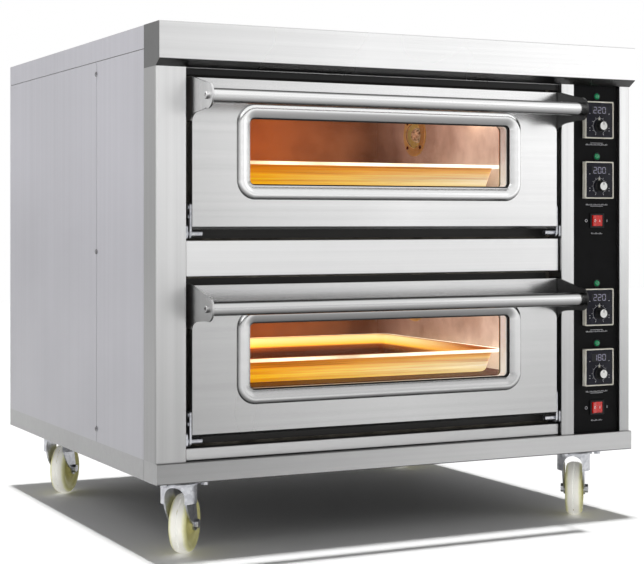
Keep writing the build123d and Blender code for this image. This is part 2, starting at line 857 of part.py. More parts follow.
def door_insulation(deck):
    """Wool batt with a cut-out for the window and a pocket for each pane."""
    inset = liner_inset + sheet + wool_gap
    low = door_bottoms[deck] + max(inset, door_chamfer + sheet * 2)
    batt = block(door_left + inset, door_right - inset, sheet + wool_gap,
                 door_thickness - sheet - wool_gap, low, door_bottoms[deck] + door_height - inset)
    batt -= window_prism(*door_window(deck, bead_spigot + wool_gap), bead_corner - bead_width + bead_spigot,
                         0, door_thickness)
    x0, x1, z0, z1 = door_window(deck, pane_lap + wool_gap)
    back = door_thickness - sheet - fit_gap
    for y0, y1 in ((0, bead_seat + pane_thickness + wool_gap), (back - pane_thickness - wool_gap, back + 1)):
        batt -= block(x0, x1, y0, y1, z0, z1)
    for centre in hinge_lug_bolts(deck):
        batt -= rod_x(door_left, door_left + bolt_length, *centre, lug_screw_radius + wool_gap)
        batt -= rod_x(door_right - bolt_length, door_right, *centre, lug_screw_radius + wool_gap)
    return batt


def handle_axis(deck):
    return -bar_reach, door_bottoms[deck] + door_height - bar_drop


def handle_bar(deck):
    """A round tube with a plug in each end that the bracket bolts screw into."""
    y, z = handle_axis(deck)
    bar = rod_x(door_left, door_right, y, z, bar_radius)
    bar -= rod_x(door_left + bolt_length, door_right - bolt_length, y, z, bar_radius - bar_wall)
    for x0, x1 in ((door_left - 1, door_left + bolt_length + 1), (door_right - bolt_length - 1, door_right + 1)):
        bar -= rod_x(x0, x1, y, z, bolt_radius + bolt_play)
    return bar


def bracket_outline():
    """Handle bracket seen from the side, about the bar's axis: y forward is negative."""
    reach = bar_reach
    inset = bracket_inset
    half = bracket_half_height
    upper = math.radians(bracket_upper_angle)
    lower = math.radians(bracket_lower_angle)
    tip_up = (-bracket_tip * math.cos(upper), bracket_tip * math.sin(upper))
    tip_low = (-bracket_tip * math.cos(lower), bracket_tip * math.sin(lower))
    line = Polyline((reach, -half), (reach + inset, -half), (reach + inset, half), (reach, half), tip_up)
    line += ThreePointArc(tip_up, (-bracket_tip, 0), tip_low)
    line += Spline(tip_low, (reach, -half), tangents=bracket_tangents)
    return make_face(line)


def handle_brackets(deck):
    y, z = handle_axis(deck)
    pieces = []
    for x0, out in ((door_left - bracket_thickness, -1), (door_right, 1)):
        plate = Pos(x0, y, z) * extrude(Plane.YZ * bracket_outline(), bracket_thickness)
        plate -= rod_x(x0 - 1, x0 + bracket_thickness + 1, y, z, bolt_radius + bolt_play)
        face = x0 if out < 0 else x0 + bracket_thickness
        tip = face + out * bolt_head_height
        head = rod_x(min(face, tip), max(face, tip), y, z, bolt_head_radius)
        head = fillet([e for e in head.edges() if near(e.center().X, tip)], bolt_head_round)
        floor = tip - out * socket_depth
        socket = hexagon_x(min(tip, floor), max(tip, floor), y, z, socket_radius)
        inner = face - out * (bracket_thickness + bolt_length - 1)
        shank = rod_x(min(face, inner), max(face, inner), y, z, bolt_radius)
        pieces += [plate, head + shank - socket]
    return group(pieces)


def hinge_centre(deck):
    return hinge_y, door_bottoms[deck] - hinge_drop


def hinge_lugs(deck):
    """Plates on the ends of the door, each welded to its pivot pin, with two screws each."""
    y, z = hinge_centre(deck)
    top = door_bottoms[deck] + lug_rise
    pieces = []
    for side in (-1, 1):
        edge = door_left if side < 0 else door_right
        outer = edge + side * lug_thickness
        x0, x1 = min(edge, outer), max(edge, outer)
        lug = rod_x(x0, x1, y, z, lug_radius)
        lug += block(x0, x1, y - lug_radius, y + lug_radius, z, top)
        lug += block(x0, x1, y - lug_radius, y - lug_radius + lug_width, top - lug_rise / 2, top)
        lug = rounded(lug, Axis.X, lug_round, lambda c: near(c.Z, top))
        far = opening_left if side < 0 else opening_right
        pin_out = far - side * fit_gap
        pin_in = edge - side * pin_inboard
        lug += rod_x(min(pin_out, pin_in), max(pin_out, pin_in), y, z, hinge_pin_radius)
        for centre in hinge_lug_bolts(deck):
            screw_out = outer + side * lug_screw_head_height
            screw_in = edge - side * lug_screw_length
            lug += rod_x(min(outer, screw_out), max(outer, screw_out), *centre, lug_screw_head)
            lug += rod_x(min(outer, screw_in), max(outer, screw_in), *centre, lug_screw_radius)
        pieces.append(lug)
    return group(pieces)


def hinge_brackets():
    """Fixed plates on the columns, each with a bore for a door pin."""
    pieces = []
    for deck in deck_names:
        y, z = hinge_centre(deck)
        for x0 in (opening_left, opening_right - hinge_bracket_thickness):
            x1 = x0 + hinge_bracket_thickness
            plate = block(x0, x1, y - lug_radius, chamber_front - seam, z - lug_radius, z + hinge_bracket_rise)
            plate = rounded(plate, Axis.X, lug_round, lambda c: c.Y < y)
            plate -= rod_x(x0 - 1, x1 + 1, y, z, hinge_pin_radius + pin_clearance)
            pieces.append(plate)
    return group(pieces)


def caster_places():
    columns = {"left": caster_left, "right": body_width - caster_right}
    rows = {"front": caster_front, "rear": body_depth - caster_back}
    return {f"{row}_{side}": (x, y) for row, y in rows.items() for side, x in columns.items()}


def caster_bolt_places():
    places = []
    for x, y in caster_places().values():
        for dx in (-plate_bolt_x / 2, plate_bolt_x / 2):
            for dy in (-plate_bolt_y / 2, plate_bolt_y / 2):
                places.append((x + dx, y + dy))
    return places


def caster_plates():
    """Fixed top plates with the kingpin riveted under each."""
    disc_bottom = -plate_thickness - race_gap - leg_thickness
    plates = []
    for x, y in caster_places().values():
        plate = block(x - plate_length / 2, x + plate_length / 2, y - plate_width / 2, y + plate_width / 2,
                      -plate_thickness, 0)
        plate = rounded(plate, Axis.Z, plate_corner, lambda c: True)
        plate += rod_z(disc_bottom - kingpin_head_drop, -plate_thickness, x, y, kingpin_radius)
        plate += rod_z(disc_bottom - kingpin_head_drop, disc_bottom - kingpin_head_gap, x, y,
                       kingpin_head_radius)
        for hole_x, hole_y in caster_bolt_places():
            plate -= rod_z(-plate_thickness - 1, 1, hole_x, hole_y, caster_bolt_radius + fit_gap / 2)
        plates.append(plate)
    return group(plates)


def caster_bolts():
    bolts = []
    for x, y in caster_bolt_places():
        top = heavy_sheet + caster_bolt_head
        head = hexagon_z(-plate_thickness - caster_bolt_head, -plate_thickness, x, y, caster_bolt_head_radius)
        shank = rod_z(-plate_thickness, top + 1, x, y, caster_bolt_radius)
        nut = hexagon_z(heavy_sheet, top, x, y, caster_bolt_head_radius)
        bolts.append(head + shank + nut)
    return group(bolts)


def turned(piece, place):
    """Turns a caster piece to its trailing direction and puts it under its corner."""
    return Pos(*place, 0) * Rot(0, 0, -caster_angle) * piece


def caster_fork(place):
    """Pressed fork: round crown with an arch over the wheel, two legs, axle bolt and nut."""
    top = -plate_thickness - race_gap
    inside = wheel_width / 2 + leg_clearance
    outside = inside + leg_thickness
    crown = rod_z(top - crown_height, top, 0, 0, crown_radius)
    crown = fillet([e for e in crown.edges() if near(e.center().Z, top)], leg_thickness)
    crown -= rod_z(top - crown_height - 1, top - leg_thickness, 0, 0, crown_radius - leg_thickness)
    arch_top = top - leg_thickness * 2
    arch = rod_y(-crown_radius * 2, crown_radius * 2, 0, arch_top - inside, inside)
    arch += block(-inside, inside, -crown_radius * 2, crown_radius * 2, top - crown_height * 2,
                  arch_top - inside)
    crown -= arch
    half = math.sqrt(crown_radius ** 2 - outside ** 2)
    foot = trail + leg_boss
    line = Polyline((-half, top - leg_thickness), (half, top - leg_thickness), (foot, axle_height))
    line += ThreePointArc((foot, axle_height), (trail, axle_height - leg_boss), (trail - leg_boss, axle_height))
    line += ThreePointArc((trail - leg_boss, axle_height), (-leg_waist, (top - crown_height + axle_height) / 2),
                          (-half, top - crown_skirt))
    line += Polyline((-half, top - crown_skirt), (-half, top - leg_thickness))
    leg = extrude(Plane.YZ * make_face(line), leg_thickness)
    fork = crown + Pos(inside, 0, 0) * leg + Pos(-outside, 0, 0) * leg
    fork -= rod_z(top - leg_thickness * 2, top + 1, 0, 0, kingpin_radius + kingpin_clearance)
    fork -= rod_x(-outside - 1, outside + 1, trail, axle_height, axle_radius + axle_hole_play)
    bolt = rod_x(-outside - nut_height, outside + nut_height, trail, axle_height, axle_radius)
    bolt += hexagon_x(-outside - nut_height, -outside, trail, axle_height, nut_radius)
    nut = hexagon_x(outside, outside + nut_height, trail, axle_height, nut_radius)
    nut -= rod_x(outside - 1, outside + nut_height + 1, trail, axle_height, axle_radius)
    return group([turned(piece, place) for piece in (fork, bolt, nut)])


def caster_wheel(place):
    """One-piece nylon wheel: crowned tread with a parting groove, dished sides, hub."""
    hub_half = wheel_width / 2 + leg_clearance - hub_gap
    half = wheel_width / 2
    web = half - wheel_dish
    bore = axle_radius + axle_clearance
    rim = wheel_radius - rim_drop
    rim_half = half - rim_lip
    shoulder = wheel_radius - shoulder_drop
    crown_r = wheel_radius - crown_drop
    line = Polyline((-tread_groove, wheel_radius), (0, wheel_radius - tread_groove_depth),
                    (tread_groove, wheel_radius))
    line += ThreePointArc((tread_groove, wheel_radius), (crown_side, crown_r), (half, shoulder))
    web_outer = rim - wheel_blend
    web_inner = hub_radius + wheel_blend
    line += Polyline((half, shoulder), (rim_half, rim), (web, web_outer), (web, web_inner),
                     (hub_half, hub_radius), (hub_half, bore), (-hub_half, bore), (-hub_half, hub_radius),
                     (-web, web_inner), (-web, web_outer), (-rim_half, rim), (-half, shoulder))
    line += ThreePointArc((-half, shoulder), (-crown_side, crown_r), (-tread_groove, wheel_radius))
    wheel = revolve(make_face(line), Axis.X)
    return turned(Pos(0, trail, axle_height) * wheel, place)


def gland_x():
    return body_width - gland_from_right


def cable_gland():
    """Screwed gland for the supply lead: nut inside, domed cap outside, clear bore."""
    x = gland_x()
    gland = rod_y(body_depth - gland_inside, body_depth + gland_reach, x, gland_height, gland_radius)
    gland += rod_y(body_depth, body_depth + gland_collar_depth, x, gland_height, gland_collar_radius)
    gland += rod_y(body_depth - sheet - gland_nut_depth, body_depth - sheet, x, gland_height, gland_nut_radius)
    outer = [e for e in gland.edges() if near(e.center().Y, body_depth + gland_reach)]
    gland = fillet(outer, gland_round)
    return gland - rod_y(body_depth - gland_inside - 1, body_depth + gland_reach + 1, x, gland_height,
                         gland_bore)


def contactor(y):
    """Switching contactor on the base, with stepped shoulders for its terminals."""
    x = (side_wool_right + body_width) / 2
    z = heavy_sheet
    body = block(x - contactor_width / 2, x + contactor_width / 2, y, y + contactor_depth, z,
                 z + contactor_height)
    for y0 in (y, y + contactor_depth - contactor_shoulder):
        body -= block(x - contactor_width, x + contactor_width, y0 - 1, y0 + contactor_shoulder + 1,
                      z + contactor_shoulder_rise, z + contactor_height + 1)
    return body


nodes = {
    "base_pan": base_pan(),
    "left_front_column": front_column(0, left_column_width, column_depth, column_round, edge_round),
    "mid_front_column": front_column(opening_right, mid_column_width, mid_column_depth,
                                     edge_round, edge_round),
    "right_front_column": front_column(panel_right, right_column_width, column_depth,
                                       edge_round, column_round),
    "side_panels": side_panels(),
    "back_panel": back_panel(),
    "top_cover": top_cover(),
    "canopy": canopy(),
    "middle_fascia": middle_fascia(),
    "kick_panel": kick_panel(),
    "control_panel": control_panel(),
    "controller_housings": group(controller_housing(z) for z in controller_centres()),
    "indicator_lamps": indicator_lamps(),
    "switch_housings": group(switch_housing(z) for z in switch_centres()),
    "hearth_plates": hearth_plates(),
    "insulation_slabs": insulation_slabs(),
    "heating_elements": heating_elements(),
    "lamp_housings": group(lamp_housing(deck) for deck in deck_names),
    "lamp_glasses": group(lamp_glass(deck) for deck in deck_names),
    "lamp_bulbs": group(lamp_bulb(deck) for deck in deck_names),
    "panel_screws": panel_screws(),
    "cable_gland": cable_gland(),
    "contactors": group(contactor(contactor_front + i * contactor_pitch) for i in range(2)),
    "hinge_brackets": hinge_brackets(),
    "caster_plates": caster_plates(),
    "caster_bolts": caster_bolts(),
}

knob_names = ("upper_top_heat_knob", "upper_bottom_heat_knob", "lower_top_heat_knob", "lower_bottom_heat_knob")
for name, height in zip(knob_names, controller_centres()):
    nodes[name] = control_knob(height)

for deck, height in zip(reversed(deck_names), switch_centres()):
    nodes[f"{deck}_light_rocker"] = rocker_switch(height)

for deck in deck_names:
    nodes[f"{deck}_chamber_liner"] = chamber_liner(deck)
    nodes[f"{deck}_baking_tray"] = baking_tray(deck)
    nodes[f"{deck}_door_skin"] = door_skin(deck)
    nodes[f"{deck}_door_liner"] = door_liner(deck)
    nodes[f"{deck}_door_insulation"] = door_insulation(deck)
    nodes[f"{deck}_window_bead"] = window_bead(deck)
    nodes[f"{deck}_window_panes"] = window_panes(deck)
    nodes[f"{deck}_handle_bar"] = handle_bar(deck)
    nodes[f"{deck}_handle_brackets"] = handle_brackets(deck)
    nodes[f"{deck}_hinge_lugs"] = hinge_lugs(deck)

for name, place in caster_places().items():
    nodes[f"{name}_caster_fork"] = caster_fork(place)
    nodes[f"{name}_caster_wheel"] = caster_wheel(place)

# Shared origin: floor level, centre of the whole length from bracket tips to gland
front_reach = bar_reach + bracket_tip
whole_middle = (body_depth + gland_reach - front_reach) / 2
shift = Pos(-body_width / 2, -whole_middle, caster_height)

os.makedirs("parts", exist_ok=True)
for name, piece in nodes.items():
    export_step(piece.moved(shift), f"parts/{name}.step")

print("nodes", len(nodes))
print("shift", shift.position)
print("hinges", {deck: hinge_centre(deck) for deck in deck_names})
print("controllers", controller_centres(), "switches", switch_centres(), "x", control_x)
print("casters", caster_places(), "cabinet", cabinet_height)
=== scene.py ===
import json
import math
import bmesh
import bpy
import numpy as np
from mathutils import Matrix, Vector

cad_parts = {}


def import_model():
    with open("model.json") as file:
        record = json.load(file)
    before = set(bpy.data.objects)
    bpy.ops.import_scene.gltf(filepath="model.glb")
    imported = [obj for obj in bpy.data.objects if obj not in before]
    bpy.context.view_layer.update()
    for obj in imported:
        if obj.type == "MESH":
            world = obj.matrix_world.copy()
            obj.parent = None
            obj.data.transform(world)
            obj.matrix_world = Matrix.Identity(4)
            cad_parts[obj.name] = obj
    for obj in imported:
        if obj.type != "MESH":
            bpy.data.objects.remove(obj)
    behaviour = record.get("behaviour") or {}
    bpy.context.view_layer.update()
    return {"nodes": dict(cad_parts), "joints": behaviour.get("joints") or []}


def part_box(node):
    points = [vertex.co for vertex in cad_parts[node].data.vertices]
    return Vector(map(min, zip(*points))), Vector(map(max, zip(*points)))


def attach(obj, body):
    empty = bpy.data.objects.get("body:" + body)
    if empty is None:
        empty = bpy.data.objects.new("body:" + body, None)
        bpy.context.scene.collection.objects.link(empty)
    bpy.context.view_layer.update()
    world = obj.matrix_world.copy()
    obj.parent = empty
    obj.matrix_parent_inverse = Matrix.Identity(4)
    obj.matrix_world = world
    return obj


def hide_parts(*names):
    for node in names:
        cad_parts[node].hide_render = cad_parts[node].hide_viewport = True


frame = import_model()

# Two-deck bakery oven on casters. Metres, +Z up, the front faces -Y.
mm = 0.001
decks = ("upper", "lower")
corners = ("front_left", "front_right", "rear_left", "rear_right")
hingePoint = {joint["name"]: np.array(joint["pos_m"]) for joint in frame["joints"] if "pos_m" in joint}
print("frame loaded,", len(frame["nodes"]), "parts")

# rows are local right, up and outwards for something that faces that way
facing = {
    "front": np.array([[1, 0, 0], [0, 0, 1], [0, -1, 0]], float),
    "back": np.array([[-1, 0, 0], [0, 0, 1], [0, 1, 0]], float),
    "left": np.array([[0, -1, 0], [0, 0, 1], [-1, 0, 0]], float),
    "right": np.array([[0, 1, 0], [0, 0, 1], [1, 0, 0]], float),
    "down": np.array([[1, 0, 0], [0, -1, 0], [0, 0, -1]], float),
}


def inMm(**sizes):
    # sizes written in millimetres
    return {name: size * mm for name, size in sizes.items()}


def colour(hexText, alpha=1.0):
    # sRGB hex to linear: c/12.92 below 0.04045, else ((c + 0.055)/1.055)^2.4
    c = np.array([int(hexText[i:i + 2], 16) for i in (1, 3, 5)]) / 255
    linear = np.where(c <= 0.04045, c / 12.92, ((c + 0.055) / 1.055) ** 2.4)
    return (*linear, alpha)


def setSockets(tree, node, sockets):
    # every socket named gets a link, or a plain value
    for key, value in sockets.items():
        if isinstance(value, bpy.types.NodeSocket):
            tree.links.new(value, node.inputs[key])
        else:
            node.inputs[key].default_value = value


def addNode(tree, kind, settings=None, inputs=None):
    # one shader node: plain settings first, then its sockets
    node = tree.nodes.new(kind)
    for name, value in (settings or {}).items():
        if name == "stops":
            for i, (place, shade) in enumerate(value):
                stop = node.color_ramp.elements[i] if i < 2 else node.color_ramp.elements.new(place)
                stop.position, stop.color = place, colour(shade)
        else:
            setattr(node, name, value)
    setSockets(tree, node, inputs or {})
    return node


def newMaterial(name):
    # a bare Principled shader, and the texture coordinates that its patterns start from
    material = bpy.data.materials.new(name)
    material.use_nodes = True
    tree = material.node_tree
    tree.nodes.clear()
    shader = addNode(tree, "ShaderNodeBsdfPrincipled")
    addNode(tree, "ShaderNodeOutputMaterial", None, {"Surface": shader.outputs[0]})
    return material, tree, shader, addNode(tree, "ShaderNodeTexCoord").outputs


def noise(tree, where, size, detail=2.0, **more):
    # soft noise with one cell to every size in metres
    return addNode(tree, "ShaderNodeTexNoise", None,
                   {"Vector": where, "Scale": 1 / size, "Detail": detail, **more}).outputs[0]


def stretched(tree, where, scale):
    return addNode(tree, "ShaderNodeMapping", None, {"Vector": where, "Scale": scale}).outputs[0]


def axesOf(tree, vector):
    return addNode(tree, "ShaderNodeSeparateXYZ", None, {"Vector": vector}).outputs


def maths(tree, operation, *values):
    return addNode(tree, "ShaderNodeMath", {"operation": operation}, dict(enumerate(values))).outputs[0]


def remap(tree, value, fromLow, fromHigh, toLow=0.0, toHigh=1.0, smooth=False):
    kind = "SMOOTHSTEP" if smooth else "LINEAR"
    return addNode(tree, "ShaderNodeMapRange", {"interpolation_type": kind},
                   {"Value": value, "From Min": fromLow, "From Max": fromHigh, "To Min": toLow,
                    "To Max": toHigh}).outputs[0]


def ramp(tree, value, *stops):
    return addNode(tree, "ShaderNodeValToRGB", {"stops": stops}, {"Fac": value}).outputs[0]


def blend(tree, share, first, second, mode="MIX"):
    return addNode(tree, "ShaderNodeMix", {"data_type": "RGBA", "blend_type": mode},
                   {0: share, 6: first, 7: second}).outputs[2]


def bumped(tree, height, strength, distance):
    return addNode(tree, "ShaderNodeBump", None,
                   {"Height": height, "Strength": strength, "Distance": distance}).outputs[0]


def paint(node, material):
    # a carried-over CAD part gets its finish in every material slot
    mesh = frame["nodes"][node].data
    mesh.materials.clear()
    mesh.materials.append(material)


def gridFaces(copies, rows, columns, wrapRows, wrapColumns):
    # quads (r, c), (r, c+1), (r+1, c+1), (r+1, c) of every copy, indices wrapped where the grid closes
    r, c = np.mgrid[:rows - (not wrapRows), :columns - (not wrapColumns)]
    down, across = (r + 1) % rows, (c + 1) % columns
    quad = np.stack((r * columns + c, r * columns + across, down * columns + across, down * columns + c), -1)
    return (quad.reshape(1, -1, 4) + (np.arange(copies) * rows * columns)[:, None, None]).reshape(-1, 4)


def makePiece(name, body, material, grids, crease=32.0, stage=False):
    # grids: list of (points, wrapRows, wrapColumns), points shaped copies x rows x columns x 3
    allPoints, allFaces, start = [], [], 0
    for points, wrapRows, wrapColumns in grids:
        points = np.asarray(points, float)
        points = points.reshape((-1,) + points.shape[-3:])
        allPoints.append(points.reshape(-1, 3))
        allFaces.append(gridFaces(*points.shape[:3], wrapRows, wrapColumns) + start)
        start += len(allPoints[-1])
    mesh = bpy.data.meshes.new(name)
    mesh.from_pydata(np.concatenate(allPoints).tolist(), [], np.concatenate(allFaces).tolist())
    weld = bmesh.new()
    weld.from_mesh(mesh)
    bmesh.ops.remove_doubles(weld, verts=weld.verts, dist=2e-6)
    bmesh.ops.dissolve_degenerate(weld, edges=weld.edges, dist=1e-6)
    bmesh.ops.recalc_face_normals(weld, faces=weld.faces)
    weld.to_mesh(mesh)
    weld.free()
    mesh.shade_smooth()
    mesh.set_sharp_from_angle(angle=math.radians(crease))
    mesh.materials.append(material)
    piece = bpy.data.objects.new(name, mesh)
    bpy.context.scene.collection.objects.link(piece)
    if stage:
        return piece
    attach(piece, body)
    return piece


def place(local, origin, axes=facing["front"]):
    # local right, up, out to the shared frame
    return np.asarray(local, float) @ axes + np.asarray(origin, float)


def turned(profile, steps=48):
    # a profile of (radius, out) turned about the out axis: (r cos a, r sin a, out)
    radius, out = np.asarray(profile, float).T
    angle = np.linspace(0, 2 * math.pi, steps, endpoint=False)
    around = ((radius, np.cos(angle)), (radius, np.sin(angle)), (out, np.ones_like(angle)))
    return np.stack([np.outer(*pair) for pair in around], -1)


def roundedLoop(width, height, radius, arcSteps=9):
    # rounded rectangle: the middle of each corner's quarter circle plus radius times (cos a, sin a)
    angle = np.linspace(0, math.pi / 2, arcSteps)
    quarter = np.arange(4)[:, None] * math.pi / 2
    turn = angle[None] + quarter
    side = np.array([[1, 1], [-1, 1], [-1, -1], [1, -1]], float)
    middle = side * np.array([width / 2 - radius, height / 2 - radius])
    ring = middle[:, None] + radius * np.stack((np.cos(turn), np.sin(turn)), -1)
    return ring.reshape(-1, 2)


def loopGrid(profile, width, height, radius, arcSteps=9):
    # one rounded loop per profile point (inset, out): the loop shrinks by the inset, its corner with it
    rows = []
    for inset, out in profile:
        loop = roundedLoop(width - 2 * inset, height - 2 * inset, max(radius - inset, 0.1 * mm), arcSteps)
        rows.append(np.column_stack((loop, np.full(len(loop), out))))
    return np.array(rows)


def scaledPlate(outline, lift, bevel=0.82, sink=0.0):
    # an outline (n, 2) raised to a plate: rows scaled 0, 1, 1, bevel, 0 at -sink, -sink, part, lift, lift
    scale = np.array([0, 1, 1, bevel, 0])
    out = np.array([-sink, -sink, lift * 0.55, lift, lift])
    middle = outline.mean(0)
    flat = middle + (outline - middle)[None] * scale[:, None, None]
    return np.concatenate((flat, np.broadcast_to(out[:, None, None], flat.shape[:2] + (1,))), -1)


def ribbon(path, width, lift, sink=0.0):
    # a flat line along a path (n, 2): half the width to each side of its direction, a closed box section
    ahead = np.gradient(path, axis=0)
    ahead /= np.linalg.norm(ahead, axis=1, keepdims=True)
    side = np.stack((-ahead[:, 1], ahead[:, 0]), -1) * width / 2
    section = [(1, -sink), (1, lift * 0.6), (0.6, lift), (-0.6, lift), (-1, lift * 0.6), (-1, -sink)]
    rows = [np.column_stack((path + side * s, np.full(len(path), h))) for s, h in section]
    grid = np.array(rows)
    first, last = grid[:, :1].mean(0, keepdims=True), grid[:, -1:].mean(0, keepdims=True)
    flat = np.ones((len(section), 1, 1))
    return np.concatenate((first * flat, grid, last * flat), 1)


def middleOf(node):
    low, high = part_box(node)
    return np.array((low + high) / 2), np.array(low), np.array(high)


def frontPiece(name, body, material, grid, origins, closed=True, crease=32.0):
    # one piece: the same grid set down at each origin, facing the front
    points = np.array([place(grid, origin) for origin in origins])
    return makePiece(name, body, material, [(points, closed, True)], crease)


# brushing grain and streaks, and painted shade towards the floor (shadeLow to shadeHigh, down to lowShade)
grainAndLowShade = dict(fineSpacing=1.3, streakSpacing=11.0, streakLength=520.0, smudgeSize=260.0,
             shadeLow=0.13, shadeHigh=0.80, lowShade=0.5)
# shade by how a face leans: 0 looks down, 0.5 is upright, 1 looks up
leans = {
    "plain": [(0.0, "#3a3a3a"), (0.42, "#a8a8a8"), (0.5, "#ffffff"), (0.8, "#f4f4f4"), (1.0, "#a6a6a6")],
    "hood": [(0.0, "#4a4a4a"), (0.27, "#343434"), (0.36, "#8c8c8c"), (0.49, "#ffffff"), (0.8, "#f4f4f4"),
             (1.0, "#a6a6a6")],
    "tube": [(0.04, "#3c3c3c"), (0.18, "#7a7a7a"), (0.4, "#bcbcbc"), (0.6, "#ffffff"), (0.8, "#ffffff"),
             (0.88, "#8a8a8a"), (0.95, "#3a3a3a")],
    "bead": [(0.04, "#202020"), (0.16, "#6a6a6a"), (0.34, "#a8a8a8"), (0.48, "#ffffff"), (0.8, "#ffffff"),
             (0.93, "#9a9a9a"), (0.99, "#4c4c4c")],
    "ridge": [(0.05, "#3a3a3a"), (0.28, "#7c7c7c"), (0.44, "#cccccc"), (0.58, "#ffffff"), (0.95, "#f0f0f0")],
}
# shade from the left end of the oven (0) to the right end (1)
widths = {
    "even": [(0.0, "#ffffff"), (1.0, "#ffffff")],
    "doors": [(0.06, "#dcdcdc"), (0.2, "#ececec"), (0.5, "#ffffff"), (0.9, "#f0f0f0")],
    "hood": [(0.0, "#e4e4e4"), (0.4, "#fcfcfc"), (1.0, "#f4f4f4")],
    "base": [(0.0, "#c8c8c8"), (0.35, "#e4e4e4"), (0.7, "#ffffff")],
    "rightDark": [(0.2, "#ffffff"), (0.7, "#4c4c4c")],
}


def multiplied(tree, first, *others):
    # colours multiplied together
    for other in others:
        first = blend(tree, 1.0, first, other, "MULTIPLY")
    return first


def brushedSteel(name, direction, light, dark, rough, lean="plain", sideShade="#ffffff", across="even",
                 paintedShadeBelow=None, depth=0.015, smudge=0.04):
    # belt-brushed 304 sheet: parallel scratches blur reflections along one way, wide streaks and smudges
    # vary the gloss, and painted shade darkens folded-away faces and the lower part, a painted reflection of
    # a darker room
    material, tree, shader, at = newMaterial(name)

    def scratches(spacing, length, detail, **more):
        # cells close across the grain, far apart along it
        scale = [1 / (spacing * mm)] * 3
        scale["xyz".index(direction)] = 1 / (length * mm)
        return noise(tree, stretched(tree, at["Object"], scale), 1.0, detail, **more)

    fine = scratches(grainAndLowShade["fineSpacing"], grainAndLowShade["streakLength"], 3.0, Roughness=0.6)
    streak = scratches(grainAndLowShade["streakSpacing"], grainAndLowShade["streakLength"] * 2, 2.0)
    hand = noise(tree, at["Object"], grainAndLowShade["smudgeSize"] * mm)
    normal, spot = axesOf(tree, at["Normal"]), axesOf(tree, at["Object"])
    shade = ramp(tree, maths(tree, "MULTIPLY_ADD", fine, 0.5, streak), (0.3, dark), (1.0, light))
    # painted shade and highlight bands by how a face leans, painted shade on left-facing faces, towards the
    # floor and from one end of the oven to the other
    paintedLeanShade = ramp(tree, maths(tree, "MULTIPLY_ADD", normal[2], 0.5, 0.5), *leans[lean])
    paintedSideShade = blend(tree, remap(tree, normal[0], -0.95, -0.35), colour(sideShade), colour("#ffffff"))
    paintedLowShade = remap(tree, spot[2], grainAndLowShade["shadeLow"], grainAndLowShade["shadeHigh"], grainAndLowShade["lowShade"], 1.0, True)
    paintedWidthShade = ramp(tree, maths(tree, "ADD", spot[0], 0.5), *widths[across])
    base = multiplied(tree, shade, paintedLeanShade, paintedSideShade, paintedLowShade, paintedWidthShade)
    # painted shade: near black below that height, the shaded gap under the hood's face
    if paintedShadeBelow:
        base = multiplied(tree, base, remap(tree, spot[2], paintedShadeBelow - 0.5 * mm, paintedShadeBelow, 0.03, 1.0))
    gloss = remap(tree, hand, 0.15, 0.85, rough - smudge, rough + smudge, True)
    setSockets(tree, shader, {"Base Color": base, "Metallic": 1.0, "Roughness": gloss,
                              "Normal": bumped(tree, fine, depth, 0.1 * mm)})
    return material


